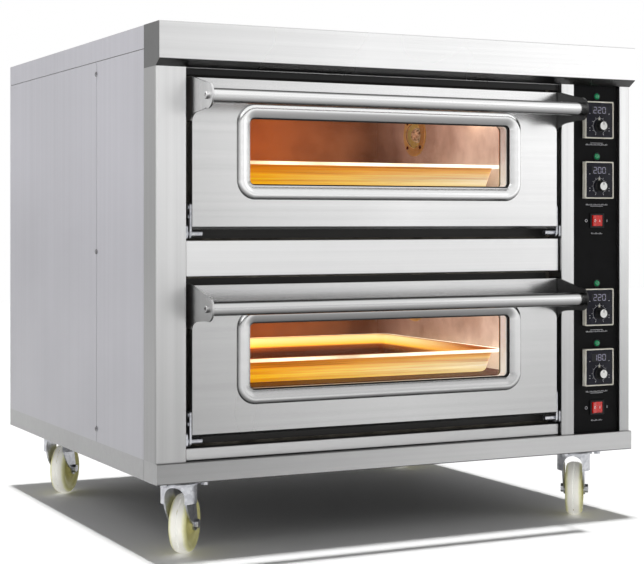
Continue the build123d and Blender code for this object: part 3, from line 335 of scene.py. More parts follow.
def heatTintedSteel(name, across, spot, rough, glow=0.0, metallic=0.6, paintedMouthShade=False, floorShade=None,
                    drawnWithPaintedLight=False):
    # oven sheet: the colour runs left to right at the back (0 to 0.5), then forwards on the right (0.5 to 1),
    # with brown clouds and spatter from many bakes over it; its emission is a painted glow that stands in for
    # some of the rods' light coming back from it
    material, tree, shader, at = newMaterial(name)
    # drawn sheet has level lines about 5 mm apart instead of clouds, partly drawing marks and partly painted
    # reflections of the drawn steps
    size = (1 / (400 * mm), 1 / (400 * mm), 1 / (5 * mm)) if drawnWithPaintedLight else [1 / (160 * mm)] * 3
    cloud = noise(tree, stretched(tree, at["Object"], size), 1.0, 5.0, Roughness=0.6)
    speck = addNode(tree, "ShaderNodeTexVoronoi", {"feature": "F1"},
                    {"Vector": at["Object"], "Scale": 1 / (14 * mm)}).outputs["Distance"]
    x, y, z = axesOf(tree, at["Object"])
    forwards = remap(tree, y, bake["back"], bake["mouthY"], 0.0, bake["frontShare"])
    along = remap(tree, x, bake["left"], bake["right"], 0.0, 0.5)
    tint = ramp(tree, maths(tree, "ADD", along, forwards), *across)
    spatter = ramp(tree, speck, (0.04, "#8a8a8a"), (0.11, "#000000"))
    clouds = ramp(tree, cloud, (0.3, "#b4a49a"), (0.62, "#ffffff"))
    shade = blend(tree, spatter, multiplied(tree, tint, clouds), colour(spot))
    if drawnWithPaintedLight:
        # painted light and shade: the front wall is orange under the rim and pale at its foot, and the far
        # wall dark low down and bright near its top
        above = maths(tree, "MODULO", maths(tree, "SUBTRACT", z, bake["trayFoot"]), bake["deckPitch"])
        rise = remap(tree, above, 0.0, bake["trayTall"])
        near = ramp(tree, rise, (0.08, "#fff6d8"), (0.3, "#ffffff"), (0.7, "#eec48c"), (0.92, "#b87844"))
        paintedFarWallLight = ramp(tree, rise, (0.3, "#3c1a0a"), (0.52, "#7a3e1a"), (0.62, "#ffc848"), (0.85, "#ffeaa0"))
        atFront = remap(tree, forwards, 0.14, 0.4, smooth=True)
        shade = blend(tree, atFront, paintedFarWallLight, multiplied(tree, shade, near))
    # painted shade: the mouth frame in front of the opening is near black
    if paintedMouthShade:
        shade = blend(tree, remap(tree, y, bake["mouthY"] - mm, bake["mouthY"]), colour("#141312"), shade)
    # painted reflection: up-facing faces take the floorShade colour, the dark back mirrored in the tray floor
    if floorShade:
        level = remap(tree, axesOf(tree, at["Normal"])[2], 0.6, 0.95)
        shade = blend(tree, level, shade, colour(floorShade))
    setSockets(tree, shader, {"Base Color": shade, "Metallic": metallic,
                              "Roughness": remap(tree, cloud, 0.0, 1.0, rough - 0.08, rough + 0.12),
                              "Normal": bumped(tree, cloud, 0.12, 1.5 * mm)})
    # painted glow: the sheet gives out its own colour, standing in for the rods' light; only the rods
    # themselves glow hot
    if glow:
        setSockets(tree, shader, {"Emission Color": shade, "Emission Strength": glow})
    return material


def mouldedPlastic(name, shade, deep, rough, texture=0.35, gloss=0.5):
    # injection-moulded part: spark-eroded texture of about half a millimetre, faint flow marks
    material, tree, shader, at = newMaterial(name)
    flow = noise(tree, at["Object"], 22 * mm, 3.0)
    pits = bumped(tree, noise(tree, at["Object"], 0.9 * mm), texture, 0.05 * mm)
    setSockets(tree, shader, {"Base Color": ramp(tree, flow, (0.3, deep), (0.7, shade)), "Normal": pits,
                              "Roughness": remap(tree, flow, 0.0, 1.0, rough - 0.06, rough + 0.08),
                              "Specular IOR Level": gloss, "IOR": 1.5})
    return material


def castNylonWheel(name):
    # cast polyamide tread: ivory in the middle with dark flecks, olive-yellow towards the sides and the hub,
    # rolled-in dust;
    # its own colour given out as emission is a painted glow that lightens the wheel in the shade under the
    # oven
    material, tree, shader, at = newMaterial(name)
    cloud = noise(tree, at["Object"], 18 * mm, 5.0)
    aged = maths(tree, "MULTIPLY_ADD", cloud, 0.16, axesOf(tree, at["UV"])[0])
    tint = ramp(tree, aged, (0.05, "#5f5528"), (0.1, "#fbfaf4"), (0.4, "#f6f4e6"), (0.6, "#d2cf98"),
                (0.85, "#aca668"))
    setSockets(tree, shader, {"Base Color": tint, "Roughness": remap(tree, cloud, 0.0, 1.0, 0.32, 0.5),
                              "Normal": bumped(tree, cloud, 0.15, 0.4 * mm), "Emission Color": tint,
                              "Emission Strength": 0.22, "IOR": 1.53})
    return material


def zincPlated(name, pale="#c6c7cb", deep="#a0a2a8"):
    # passivated zinc on pressed steel: crystalline patches a few millimetres wide, bluish, softly blurred
    material, tree, shader, at = newMaterial(name)
    patch = addNode(tree, "ShaderNodeTexVoronoi", {"feature": "SMOOTH_F1"},
                    {"Vector": at["Object"], "Scale": 1 / (6 * mm), "Smoothness": 0.6}).outputs["Color"]
    dust = noise(tree, at["Object"], 25 * mm, 4.0)
    setSockets(tree, shader, {"Base Color": ramp(tree, patch, (0.0, deep), (0.8, pale)), "Metallic": 1.0,
                              "Roughness": remap(tree, dust, 0.0, 1.0, 0.22, 0.46)})
    return material


def floatGlass(name):
    # toughened float glass: clear, sharp reflections, the last wipe marks in its gloss
    material, tree, shader, at = newMaterial(name)
    wipe = noise(tree, at["Object"], 70 * mm, 4.0)
    setSockets(tree, shader, {"Base Color": colour("#fbfdfb"), "IOR": 1.1, "Transmission Weight": 1.0,
                              "Roughness": remap(tree, wipe, 0.0, 1.0, 0.0, 0.035)})
    return material


def litLens(name, shade, deep, glow):
    # tinted polycarbonate with a light behind it: colour pools in the middle, gloss on top
    material, tree, shader, at = newMaterial(name)
    ripple = noise(tree, at["Object"], 3 * mm)
    setSockets(tree, shader, {"Base Color": ramp(tree, ripple, (0.3, deep), (0.7, shade)),
                              "Roughness": remap(tree, ripple, 0.0, 1.0, 0.1, 0.22),
                              "Emission Color": colour(shade), "Emission Strength": glow, "IOR": 1.58,
                              "Coat Weight": 0.12, "Coat Roughness": 0.05})
    return material


def hotBulb(name):
    # oven bulb behind its glass: dark inside, with painted pale glints, blotches that stand in for the
    # envelope catching the light
    material, tree, shader, at = newMaterial(name)
    paintedGlints = ramp(tree, noise(tree, at["Object"], 5 * mm, 3.0), (0.35, "#6e4c34"), (0.6, "#e8cfb0"))
    setSockets(tree, shader, {"Base Color": paintedGlints, "Roughness": 0.12, "Emission Color": paintedGlints,
                              "Emission Strength": 0.25})
    return material


def glassFibreWool(name):
    # pale yellow mineral wool: matted fibres a few millimetres long, no gloss at all
    material, tree, shader, at = newMaterial(name)
    fibre = noise(tree, at["Object"], 4 * mm, 6.0, Distortion=1.5)
    setSockets(tree, shader, {"Base Color": ramp(tree, fibre, (0.3, "#a8905a"), (0.7, "#ded09c")),
                              "Roughness": 0.95, "Normal": bumped(tree, fibre, 0.8, 2 * mm)})
    return material


def braidedSeal(name):
    # woven glass-fibre tape: over-and-under strands about 2.5 mm wide, greyed by heat
    material, tree, shader, at = newMaterial(name)
    turn = addNode(tree, "ShaderNodeMapping", None,
                   {"Vector": at["Object"], "Rotation": (0, math.radians(45), 0)})
    strand = addNode(tree, "ShaderNodeTexChecker", None, {"Vector": turn.outputs[0], "Scale": 1 / (2.5 * mm)})
    soil = noise(tree, at["Object"], 40 * mm, 3.0)
    setSockets(tree, shader, {"Base Color": ramp(tree, soil, (0.3, "#5f5a52"), (0.7, "#a19a8c")),
                              "Roughness": 0.85, "Sheen Weight": 0.2,
                              "Normal": bumped(tree, strand.outputs["Fac"], 0.6, 0.6 * mm)})
    return material


linerLow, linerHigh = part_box("upper_chamber_liner")
trayLow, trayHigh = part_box("upper_baking_tray")
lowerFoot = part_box("lower_baking_tray")[0].z
bake = dict(left=trayLow.x, right=linerHigh.x - 60 * mm, back=linerHigh.y - 2 * mm,
            mouthY=linerLow.y + 2.2 * mm, frontShare=0.5, trayFoot=lowerFoot - 0.1 * mm,
            deckPitch=trayLow.z - lowerFoot, trayTall=trayHigh.z - trayLow.z)
# each steel's lean, side shade and width arguments are painted shade and highlight bands; the hood's last
# argument paints the gap under its face near black
steel = {
    "columns": brushedSteel("brushedStainlessUpright", "z", "#e6e6e6", "#d6d6d6", 0.30, "plain", "#d0d0d0"),
    "hood": brushedSteel("brushedStainlessHood", "x", "#fcfcfc", "#f0f0f0", 0.28, "hood", "#8e8e8e", "hood",
                         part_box("canopy")[0].z + 11.3 * mm),
    "fronts": brushedSteel("brushedStainlessLevel", "x", "#f6f6f6", "#e8e8e8", 0.30),
    "doors": brushedSteel("polishedStainlessDoor", "x", "#fafafa", "#eeeeee", 0.24, "plain", "#dadada",
                          "doors"),
    "tube": brushedSteel("polishedStainlessTube", "x", "#ffffff", "#f4f4f4", 0.18, "tube"),
    "bead": brushedSteel("pressedStainlessBead", "x", "#ffffff", "#f2f2f2", 0.20, "bead", "#8c8c8c"),
    "brackets": brushedSteel("polishedStainlessBracket", "z", "#f4f4f4", "#e2e2e2", 0.26, "ridge", "#ffffff",
                             "rightDark"),
    "sides": brushedSteel("satinStainlessSide", "z", "#e2e1e6", "#dad9de", 0.36, "plain", "#f4f4f6"),
    "base": brushedSteel("brushedStainlessBase", "x", "#f8f8f8", "#eaeaea", 0.30, "plain", "#ffffff", "base"),
}
finish = {
    "panel": mouldedPlastic("powderCoatedBlackPanel", "#0d0d0e", "#070708", 0.46, 0.15, 0.08),
    "cream": mouldedPlastic("mouldedAbsCream", "#e9e6dc", "#d9d4c4", 0.42),
    "black": mouldedPlastic("mouldedAbsBlack", "#141416", "#0a0a0b", 0.36, 0.3, 0.25),
    "navy": mouldedPlastic("printedPolycarbonateNavy", "#1b1b26", "#12121a", 0.24, 0.05, 0.15),
    "white": mouldedPlastic("mouldedAbsWhite", "#f6f6f4", "#e6e6e3", 0.32, 0.15),
    "print": mouldedPlastic("screenPrintedGrey", "#d6d6d8", "#b4b4ba", 0.5, 0.1),
    "rubber": mouldedPlastic("extrudedSiliconeBlack", "#121213", "#0a0a0b", 0.55),
    "green": litLens("polycarbonateGreenLit", "#0e8a58", "#054a2c", 0.22),
    "red": litLens("polycarbonateRedLit", "#c81408", "#940a04", 0.2),
    "digits": litLens("segmentDiodesPale", "#a3a0b6", "#7e7b94", 0.08),
    # the glow (fifth argument) of hearth, chamber, tray, sleeve, rim and ring is painted light standing in
    # for the rods' and the lamp's light, and only the rods glow hot; the chamber's True paints its mouth
    # frame near black as shade, and the tray's last two arguments paint a reflection of the dark back on its
    # floor and light and shade on its walls
    "hearth": heatTintedSteel("scaledHearthPlate", [(0.0, "#5a160a"), (1.0, "#4a1a10")],
                              "#1f0c08", 0.5, 0.35),
    "chamber": heatTintedSteel("heatTintedAluminisedSteel",
                               [(0.0, "#a84a14"), (0.25, "#a05826"), (0.48, "#82543a"), (0.6, "#98796a"),
                                (0.75, "#bba496"), (0.95, "#dfd2c8")], "#5a2f1c", 0.42, 0.62, 0.35, True),
    "tray": heatTintedSteel("drawnAluminiumTray",
                            [(0.42, "#ffae00"), (0.54, "#f8b41c"), (0.68, "#f6c868"), (0.82, "#fbe0a8"),
                             (0.95, "#fff2d8")],
                            "#d09a30", 0.32, 0.95, 0.3, False, "#8a4a26", True),
    "sleeve": heatTintedSteel("polishedSleeve", [(0.3, "#d2cac4"), (0.9, "#f0eeec")],
                              "#a8a09a", 0.3, 0.45, 0.3),
    # the rim's strong glow is a painted highlight line along the tray's edge
    "rim": heatTintedSteel("trayRimPaintedHighlight", [(0.3, "#ffe6ae"), (0.9, "#fff6e2")],
                           "#e8c890", 0.25, 1.5, 0.2),
    "ring": heatTintedSteel("spunBrassRing", [(0.0, "#c89a58"), (1.0, "#dcb878")], "#8a6426", 0.3, 0.3, 0.9),
    "rods": heatTintedSteel("glowingElementSheath", [(0.0, "#ff7a2a"), (1.0, "#c2501c")],
                            "#a04010", 0.6, 0.9),
    "zinc": zincPlated("zincPlatedPressing"),
    "screw": zincPlated("blackenedScrewSteel", "#9a9a9c", "#3c3c3e"),
    "nylon": castNylonWheel("castNylonTread"),
    "glass": floatGlass("toughenedFloatGlass"),
    "bulb": hotBulb("frostedBulbGlass"),
    "wool": glassFibreWool("matteMineralWool"),
    "seal": braidedSeal("braidedFibreTape"),
}
cadFinish = [
    (steel["base"], "base_pan"), (steel["hood"], "canopy"),
    (steel["columns"], "left_front_column mid_front_column right_front_column"),
    (steel["sides"], "side_panels back_panel top_cover"),
    (steel["fronts"], "middle_fascia kick_panel {deck}_door_liner"), (steel["doors"], "{deck}_door_skin"),
    (steel["bead"], "{deck}_window_bead"), (steel["tube"], "{deck}_handle_bar"),
    (steel["brackets"], "{deck}_handle_brackets"), (finish["panel"], "control_panel"),
    (finish["cream"], "controller_housings"), (finish["green"], "indicator_lamps"),
    (finish["red"], "{deck}_light_rocker"), (finish["black"], "switch_housings cable_gland contactors"),
    (finish["hearth"], "hearth_plates"), (finish["chamber"], "{deck}_chamber_liner"),
    (finish["wool"], "insulation_slabs {deck}_door_insulation"), (finish["rods"], "heating_elements"),
    (finish["ring"], "lamp_housings"), (finish["glass"], "lamp_glasses {deck}_window_panes"),
    (finish["bulb"], "lamp_bulbs"),
    (finish["zinc"], "hinge_brackets caster_plates caster_bolts {deck}_hinge_lugs {corner}_caster_fork"),
]
for material, names in cadFinish:
    for name in names.split():
        for one in decks if "{deck}" in name else corners if "{corner}" in name else [""]:
            paint(name.format(deck=one, corner=one), material)
print("materials ready,", len(bpy.data.materials))

controller = dict(inMm(width=67, height=72, faceWidth=62.4, faceHeight=67.4, corner=2.5, rim=1.5,
                       faceLift=0.35, knobDrop=12, displayWidth=37, displayHeight=15, displayUp=19,
                       digitHeight=11.5, digitWidth=6.9, digitPitch=10.6, segmentWidth=1.35,
                       scaleRadius=16.5), scaleTicks=11, scaleSweep=150.0)
# which of the seven bars are lit: top, upper right, lower right, bottom, lower left, upper left, middle
lit = {"0": "1111110", "1": "0110000", "2": "1101101", "8": "1111111"}
readings = {"upper_top": "220", "upper_bottom": "200", "lower_top": "220", "lower_bottom": "180"}


def controllerPlaces():
    # name: middle of the controller's front face, from its knob's own box
    places = {}
    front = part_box("controller_housings")[0].y
    for name in readings:
        middle = middleOf(f"{name}_heat_knob")[0]
        places[name] = np.array((middle[0], front, middle[2] + controller["knobDrop"]))
    return places


def controllerBezels(places):
    # a rounded loop section swept round the face: up the outside, over the rim, down to the face
    profile = [(0, -1.2 * mm), (0, 0.8 * mm), (0.5 * mm, controller["rim"]), (1.7 * mm, controller["rim"]),
               (2.2 * mm, 0.9 * mm), (2.5 * mm, -0.3 * mm), (2.5 * mm, -1.2 * mm)]
    width, height = controller["width"] + 0.6 * mm, controller["height"] + 0.6 * mm
    grid = loopGrid(profile, width, height, controller["corner"])
    frontPiece("controllerBezels", "cabinet", finish["cream"], grid, places.values())


def controllerFaces(places):
    # a flat pad with a small bevel, its rows run in to a line at the middle
    profile = [(29 * mm, -0.6 * mm), (0, -0.6 * mm), (0, controller["faceLift"] * 0.5),
               (0.4 * mm, controller["faceLift"]), (29 * mm, controller["faceLift"])]
    grid = loopGrid(profile, controller["faceWidth"], controller["faceHeight"], 2 * mm)
    frontPiece("controllerFaces", "cabinet", finish["navy"], grid, places.values(), False)


def displayWindows(places):
    # a clear window pad over the digits, its edge rolled over by a quarter circle
    turn = np.linspace(0, math.pi / 2, 5)
    edge = np.column_stack((0.6 * mm * (1 - np.sin(turn)), 0.5 * mm * (1 - np.cos(turn))))
    profile = [(7.4 * mm, 0.1 * mm), (0, 0.1 * mm)] + [(i, controller["faceLift"] + o) for i, o in edge]
    profile += [(7.4 * mm, profile[-1][1])]
    grid = loopGrid(profile, controller["displayWidth"], controller["displayHeight"], 1.5 * mm)
    origins = [p + (0, 0, controller["displayUp"]) for p in places.values()]
    frontPiece("displayWindows", "cabinet", finish["black"], grid, origins, False)


def segmentOutline(length, width):
    # a bar with pointed ends, along x
    half, tip = length / 2, width / 2
    return np.array([(-half, 0), (-half + tip, -tip), (half - tip, -tip), (half, 0), (half - tip, tip),
                     (-half + tip, tip)])


def digitBars(text):
    # every lit bar of a reading, as plates round the middle of the display
    w, h, bar = controller["digitWidth"], controller["digitHeight"] / 2, controller["segmentWidth"]
    x, y = w / 2, h / 2
    spots = [(0, h, 0), (x, y, 1), (x, -y, 1), (0, -h, 0), (-x, -y, 1), (-x, y, 1), (0, 0, 0)]
    plates = []
    for i, figure in enumerate(text):
        shiftX = (i - (len(text) - 1) / 2) * controller["digitPitch"]
        for (x, y, upright), on in zip(spots, lit[figure]):
            outline = segmentOutline((h if upright else w) - bar * 0.25, bar)
            outline = outline[:, ::-1] if upright else outline
            if on == "1":
                plates.append(scaledPlate(outline + (x + shiftX, y), 0.35 * mm))
    return np.array(plates)


def displayDigits(places):
    up = np.array((0, -controller["faceLift"] - 0.45 * mm, controller["displayUp"]))
    grids = [(place(digitBars(readings[name]), spot + up), False, True)
             for name, spot in places.items()]
    makePiece("displayDigits", "cabinet", finish["digits"], grids)


def dialScales(places):
    # ticks at equal angles round the knob, longer at the ends and the middle, with a thin arc inside them
    sweep = math.radians(controller["scaleSweep"])
    angles = np.linspace(-sweep, sweep, controller["scaleTicks"])
    radius = controller["scaleRadius"]
    plates = []
    for i, angle in enumerate(angles):
        long = 3.4 * mm if i % 5 == 0 else 2.0 * mm
        outward = np.array((math.sin(angle), math.cos(angle)))
        outline = roundedLoop(0.9 * mm, long, 0.44 * mm, 4)
        turn = np.array(((outward[1], -outward[0]), (outward[0], outward[1])))
        plates.append(scaledPlate(outline @ turn + outward * (radius + long / 2), 0.2 * mm))
    arc = np.linspace(-sweep, sweep, 60)
    line = ribbon(np.column_stack((np.sin(arc), np.cos(arc))) * (radius - 1.1 * mm), 0.45 * mm, 0.15 * mm)
    dots = [scaledPlate(roundedLoop(1.7 * mm, 1.7 * mm, 0.8 * mm, 5) + (side * 23 * mm, up * mm), 0.3 * mm)
            for side in (-1, 1) for up in (-21, -16, 12)]
    grids = []
    for spot in places.values():
        face = spot - (0, controller["faceLift"], 0)
        centre = face - (0, 0, controller["knobDrop"])
        grids += [(place(plates, centre), False, True), (place(line, centre), True, False),
                  (place(dots, face), False, True)]
    makePiece("dialScales", "cabinet", finish["print"], grids)


spots = controllerPlaces()
controllerBezels(spots)
controllerFaces(spots)
displayWindows(spots)
displayDigits(spots)
dialScales(spots)

knob = dict(inMm(length=13.5, fluteDepth=0.7, capRadius=8.1, capLift=0.5), flutes=18)


def knobShell(name):
    # radius by height, then on the grip less a scallop: r - depth * (0.5 + 0.5 cos(flutes a))^2
    middle, low, high = middleOf(name)
    length, big = knob["length"], (high[0] - low[0]) / 2
    steps = ((0, 0), (0, 0.16), (0.5, 0.22), (1.3, 0.26), (1.5, 0.35), (1.6, 0.6), (1.7, 0.84), (2.0, 0.93),
             (2.7, 0.985), (3.6, 1.0))
    profile = np.array([(0, 0)] + [(big - inset * mm, up * length) for inset, up in steps] + [(0, length)])
    grid = turned(profile, 108)
    angle = np.linspace(0, 2 * math.pi, 108, endpoint=False)
    grip = np.interp(profile[:, 1] / length, [0.26, 0.36, 0.9, 0.99], [0, 1, 1, 0])
    scallop = knob["fluteDepth"] * (0.5 + 0.5 * np.cos(knob["flutes"] * angle)) ** 2
    radius = np.linalg.norm(grid[..., :2], axis=-1, keepdims=True)
    cut = (grip[:, None] * scallop[None])[..., None]
    grid[..., :2] *= np.where(radius > 0, 1 - cut / np.maximum(radius, 1e-9), 1)
    origin = np.array((middle[0], low[1] + length, middle[2]))
    shell = frontPiece(f"{name}_shell", name, finish["black"], grid, [origin], False, 50)
    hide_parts(name)
    return origin - np.array((0, length, 0))


def knobCap(name, top):
    # a shallow dome: lift * (1 - (r / R)^2), with a pointer bar pressed on it
    share = np.linspace(1, 0, 8)
    dome = [(knob["capRadius"] * s, knob["capLift"] * (0.45 + 0.55 * (1 - s * s))) for s in share]
    profile = [(0, -0.3 * mm), (knob["capRadius"], -0.3 * mm)] + dome
    frontPiece(f"{name}_cap", name, finish["white"], turned(profile, 64), [top], False)
    bar = scaledPlate(roundedLoop(1.3 * mm, 5.2 * mm, 0.6 * mm, 5) + (0, 4.3 * mm), 0.25 * mm, sink=0.3 * mm)
    onCap = top - np.array((0, knob["capLift"] * 0.75, 0))
    frontPiece(f"{name}_pointer", name, finish["black"], bar, [onCap], False)


for name in readings:
    knobCap(f"{name}_heat_knob", knobShell(f"{name}_heat_knob"))
print("controllers and knobs made")

panel = inMm(barPitch=3.1, barTall=3, ink=0.12, lampOver=46.5, lampRadius=6, switchMarkOut=25,
             captionDrop=48, captionWidth=50)
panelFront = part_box("control_panel")[0].y


def onPanel(spot, right=0.0, up=0.0):
    return np.array((spot[0] + right, panelFront, spot[2] + up))


def pilotRings():
    # a turned collar round each lens: flat back, rolled front, open in the middle
    r = panel["lampRadius"] + 0.05 * mm
    turn = np.linspace(0, math.pi, 9)
    roll = [(r + 1.1 * mm - 1.1 * mm * math.cos(a), 0.5 * mm + 0.9 * mm * math.sin(a)) for a in turn]
    profile = [(r, -0.2 * mm)] + roll + [(r + 2.2 * mm, -0.2 * mm)]
    origins = [onPanel(spot, 0, panel["lampOver"]) for spot in spots.values()]
    frontPiece("pilotRings", "cabinet", finish["black"], turned(profile, 40), origins)


def barRow(width):
    # upright bars side by side, every third one short, like the marks of a scale
    count = int(width / panel["barPitch"]) + 1
    bars = []
    for i in range(count):
        high = panel["barTall"] * (0.6 if i % 3 == 2 else 1.0)
        bars.append(scaledPlate(roundedLoop(1.15 * mm, high, 0.5 * mm, 4)
                                + ((i - (count - 1) / 2) * panel["barPitch"], (high - panel["barTall"]) / 2),
                                panel["ink"]))
    return np.array(bars)


def heatMarks():
    # a row of bars under each controller, with a line above it for the roof or below it for the hearth
    grids = []
    for name, spot in spots.items():
        side = 1 if "top" in name else -1
        origin = onPanel(spot, 0, -panel["captionDrop"])
        line = scaledPlate(roundedLoop(panel["captionWidth"] * 0.6, 0.7 * mm, 0.34 * mm, 4)
                           + (0, side * 3.2 * mm), panel["ink"])
        grids += [(place(grid, origin), False, True)
                  for grid in (barRow(panel["captionWidth"]), line)]
    makePiece("heatMarks", "cabinet", finish["print"], grids)


def switchMarks():
    # a ring and a bar beside each switch, and a row of bars under it
    circle = np.linspace(0, 2 * math.pi, 41)
    ring = ribbon(np.column_stack((np.cos(circle), np.sin(circle))) * 2.6 * mm, 0.9 * mm, panel["ink"])
    bar = scaledPlate(roundedLoop(1.1 * mm, 5.4 * mm, 0.5 * mm, 4), panel["ink"])
    marks = ((ring, -panel["switchMarkOut"], 0.0, True), (bar, panel["switchMarkOut"], 0.0, False),
             (barRow(26 * mm), 0.0, -25 * mm, False))
    grids = []
    for deck in decks:
        spot = middleOf(f"{deck}_light_rocker")[0]
        grids += [(place(grid, onPanel(spot, right, up)), closed, not closed)
                  for grid, right, up, closed in marks]
    makePiece("switchMarks", "cabinet", finish["print"], grids)


rocker = dict(inMm(halfWidth=12, rise=3, valley=0.6), tilt=8.0)


def rockerMarks(deck):
    # marks on the two slopes: out = valley + (rise - valley) |x| / half, then the resting tilt
    circle = np.linspace(0, 2 * math.pi, 33)
    path = np.column_stack((np.cos(circle), np.sin(circle))) * 2.1 * mm - (6.3 * mm, 0)
    ring = ribbon(path, 0.8 * mm, 0.2 * mm, 0.1 * mm)
    bar = scaledPlate(roundedLoop(1.0 * mm, 5.0 * mm, 0.45 * mm, 4) + (6.3 * mm, 0), 0.2 * mm, sink=0.1 * mm)
    grids = []
    tilt = math.radians(rocker["tilt"])
    for grid, wrap in ((ring, (True, False)), (bar, (False, True))):
        grid = grid.copy()
        slope = (rocker["rise"] - rocker["valley"]) / rocker["halfWidth"]
        grid[..., 2] += rocker["valley"] + slope * np.abs(grid[..., 0])
        x, out = grid[..., 0].copy(), grid[..., 2].copy()
        grid[..., 0] = x * math.cos(tilt) + out * math.sin(tilt)
        grid[..., 2] = out * math.cos(tilt) - x * math.sin(tilt)
        grids.append((place(grid, hingePoint[f"{deck}_light_rocker_tilt"]), *wrap))
    makePiece(f"{deck}_rocker_marks", f"{deck}_light_rocker", finish["white"], grids)


pilotRings()
heatMarks()
switchMarks()
for deck in decks:
    rockerMarks(deck)

window = inMm(corner=10, sealWidth=7.5, sealProud=1.6, ridgeProud=7, ridgeWidth=25, ridgeCorner=35,
              paneSkin=4.3)


def windowRidge(deck):
    # pressed ridge round the window: out = proud sin(pi u^0.7)^0.9 across the bead, then a skirt to the glass
    middle, low, high = middleOf(f"{deck}_window_bead")
    across = np.linspace(0, 1, 21)
    ridge = window["ridgeProud"] * np.sin(math.pi * across ** 0.7) ** 0.9 + 0.25 * mm
    span = window["ridgeWidth"]
    back = low[1] + window["ridgeProud"] - high[1]
    profile = list(zip(across * span, ridge))
    profile += [(span, back), (span - 3 * mm, back), (span - 3 * mm, -0.1 * mm), (0, -0.1 * mm)]
    grid = loopGrid(profile, high[0] - low[0], high[2] - low[2], window["ridgeCorner"], 14)
    origin = np.array((middle[0], low[1] + window["ridgeProud"], middle[2]))
    ridgePiece = frontPiece(f"{deck}_window_ridge", f"{deck}_door", steel["bead"], grid,
                            [origin], crease=50)
    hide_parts(f"{deck}_window_bead")


def glassLoop(deck, profile):
    # a section (inset, out) carried round the edge of the glass opening
    _, low, high = middleOf(f"{deck}_window_bead")
    width, height = (high - low)[[0, 2]] - 2 * window["ridgeWidth"]
    return loopGrid(profile, width, height, window["corner"], 11)


def windowGasket(deck):
    # extruded silicone: a rounded lip, (cos a, sin a) stretched
    middle, low, high = middleOf(f"{deck}_window_bead")
    turn = np.linspace(0, 2 * math.pi, 14, endpoint=False)
    profile = np.column_stack((1.1 * mm + 1.5 * mm * np.cos(turn), 2.4 * mm * np.sin(turn)))
    frontPiece(f"{deck}_window_gasket", f"{deck}_door", finish["rubber"],
               glassLoop(deck, profile), [(middle[0], high[1] - 2.5 * mm, middle[2])])


def windowSleeve(deck):
    # bent steel frame between the two panes: one closed section (inset, out)
    middle = middleOf(f"{deck}_window_bead")[0]
    glassLow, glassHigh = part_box(f"{deck}_window_panes")
    near, far = glassLow.y + window["paneSkin"], glassHigh.y - window["paneSkin"]
    deep = far - near
    lip, edge = -1.6 * mm, 0.4 * mm
    profile = [(lip, 0), (edge, 0), (edge + 0.3 * mm, deep - 0.3 * mm), (edge, deep), (lip, deep)]
    frontPiece(f"{deck}_window_sleeve", f"{deck}_door", finish["sleeve"],
               glassLoop(deck, profile), [(middle[0], far, middle[2])])


def mouthSeal(deck):
    # flattened half round tape round the oven mouth: width * cos a across, proud * sin a out
    middle, low, high = middleOf(f"{deck}_chamber_liner")
    turn = np.linspace(0, math.pi, 9)
    half = window["sealWidth"] / 2
    profile = [(5.5 * mm - half * math.cos(a), window["sealProud"] * math.sin(a) ** 0.6) for a in turn]
    profile = [(profile[0][0], -0.1 * mm)] + profile + [(profile[-1][0], -0.1 * mm)]
    grid = loopGrid(profile, high[0] - low[0], high[2] - low[2], 12 * mm, 8)
    frontPiece(f"{deck}_mouth_seal", "cabinet", finish["seal"], grid,
               [(middle[0], low[1], middle[2])])


for deck in decks:
    windowRidge(deck)
    windowGasket(deck)
    windowSleeve(deck)
    mouthSeal(deck)

ovenBay = 845.4 * mm      # width of the bay left of the control column
screw = inMm(radius=5.0, height=2.8, crossWidth=0.75, crossReach=2.9, crossDepth=1.5)


def screwHead(scale=1.0):
    # dome h sqrt(1 - (r/R)^2 * 0.9), less a cross recess that gets shallower towards its ends
    ring = np.concatenate((np.linspace(0, 3.2, 17), np.linspace(3.4, 5.0, 8))) * mm
    angle = np.linspace(0, 2 * math.pi, 72, endpoint=False)
    r, a = np.meshgrid(ring, angle, indexing="ij")
    dome = screw["height"] * np.sqrt(1 - (r / screw["radius"]) ** 2 * 0.9)
    x, y = np.abs(r * np.cos(a)), np.abs(r * np.sin(a))
    near = np.minimum(x, y)
    inside = np.clip((screw["crossWidth"] - near) / (0.25 * mm), 0, 1)
    inside *= np.clip((screw["crossReach"] - r) / (0.5 * mm), 0, 1)
    dome = dome - inside * screw["crossDepth"] * (1 - 0.45 * r / screw["crossReach"])
    top = np.stack((r * np.cos(a), r * np.sin(a), dome), -1)
    rim = top[-1:] * (1, 1, 0) - (0, 0, 0.2 * mm)
    under = rim * (0, 0, 1)
    return np.concatenate((top, rim, under)) * scale


def panelScrewHeads():
    # three on each side seam and four on the back, where the CAD screws sit
    low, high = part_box("panel_screws")
    sideLow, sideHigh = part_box("side_panels")
    backY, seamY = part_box("back_panel")[1].y, low.y + screw["radius"]
    heights = (low.z + screw["radius"], (sideLow.z + sideHigh.z + 1 * mm) / 2, high.z - screw["radius"])
    spots = [((x, seamY, z), side)
             for side, x in (("left", sideLow.x), ("right", sideHigh.x)) for z in heights]
    spots += [((sideLow.x + ovenBay * share, backY, z), "back")
              for share in (1 / 3, 2 / 3) for z in heights[::2]]
    grids = [(place(screwHead(), spot, facing[side]), False, True) for spot, side in spots]
    heads = makePiece("panelScrewHeads", "cabinet", finish["screw"], grids, 28)
    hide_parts("panel_screws")


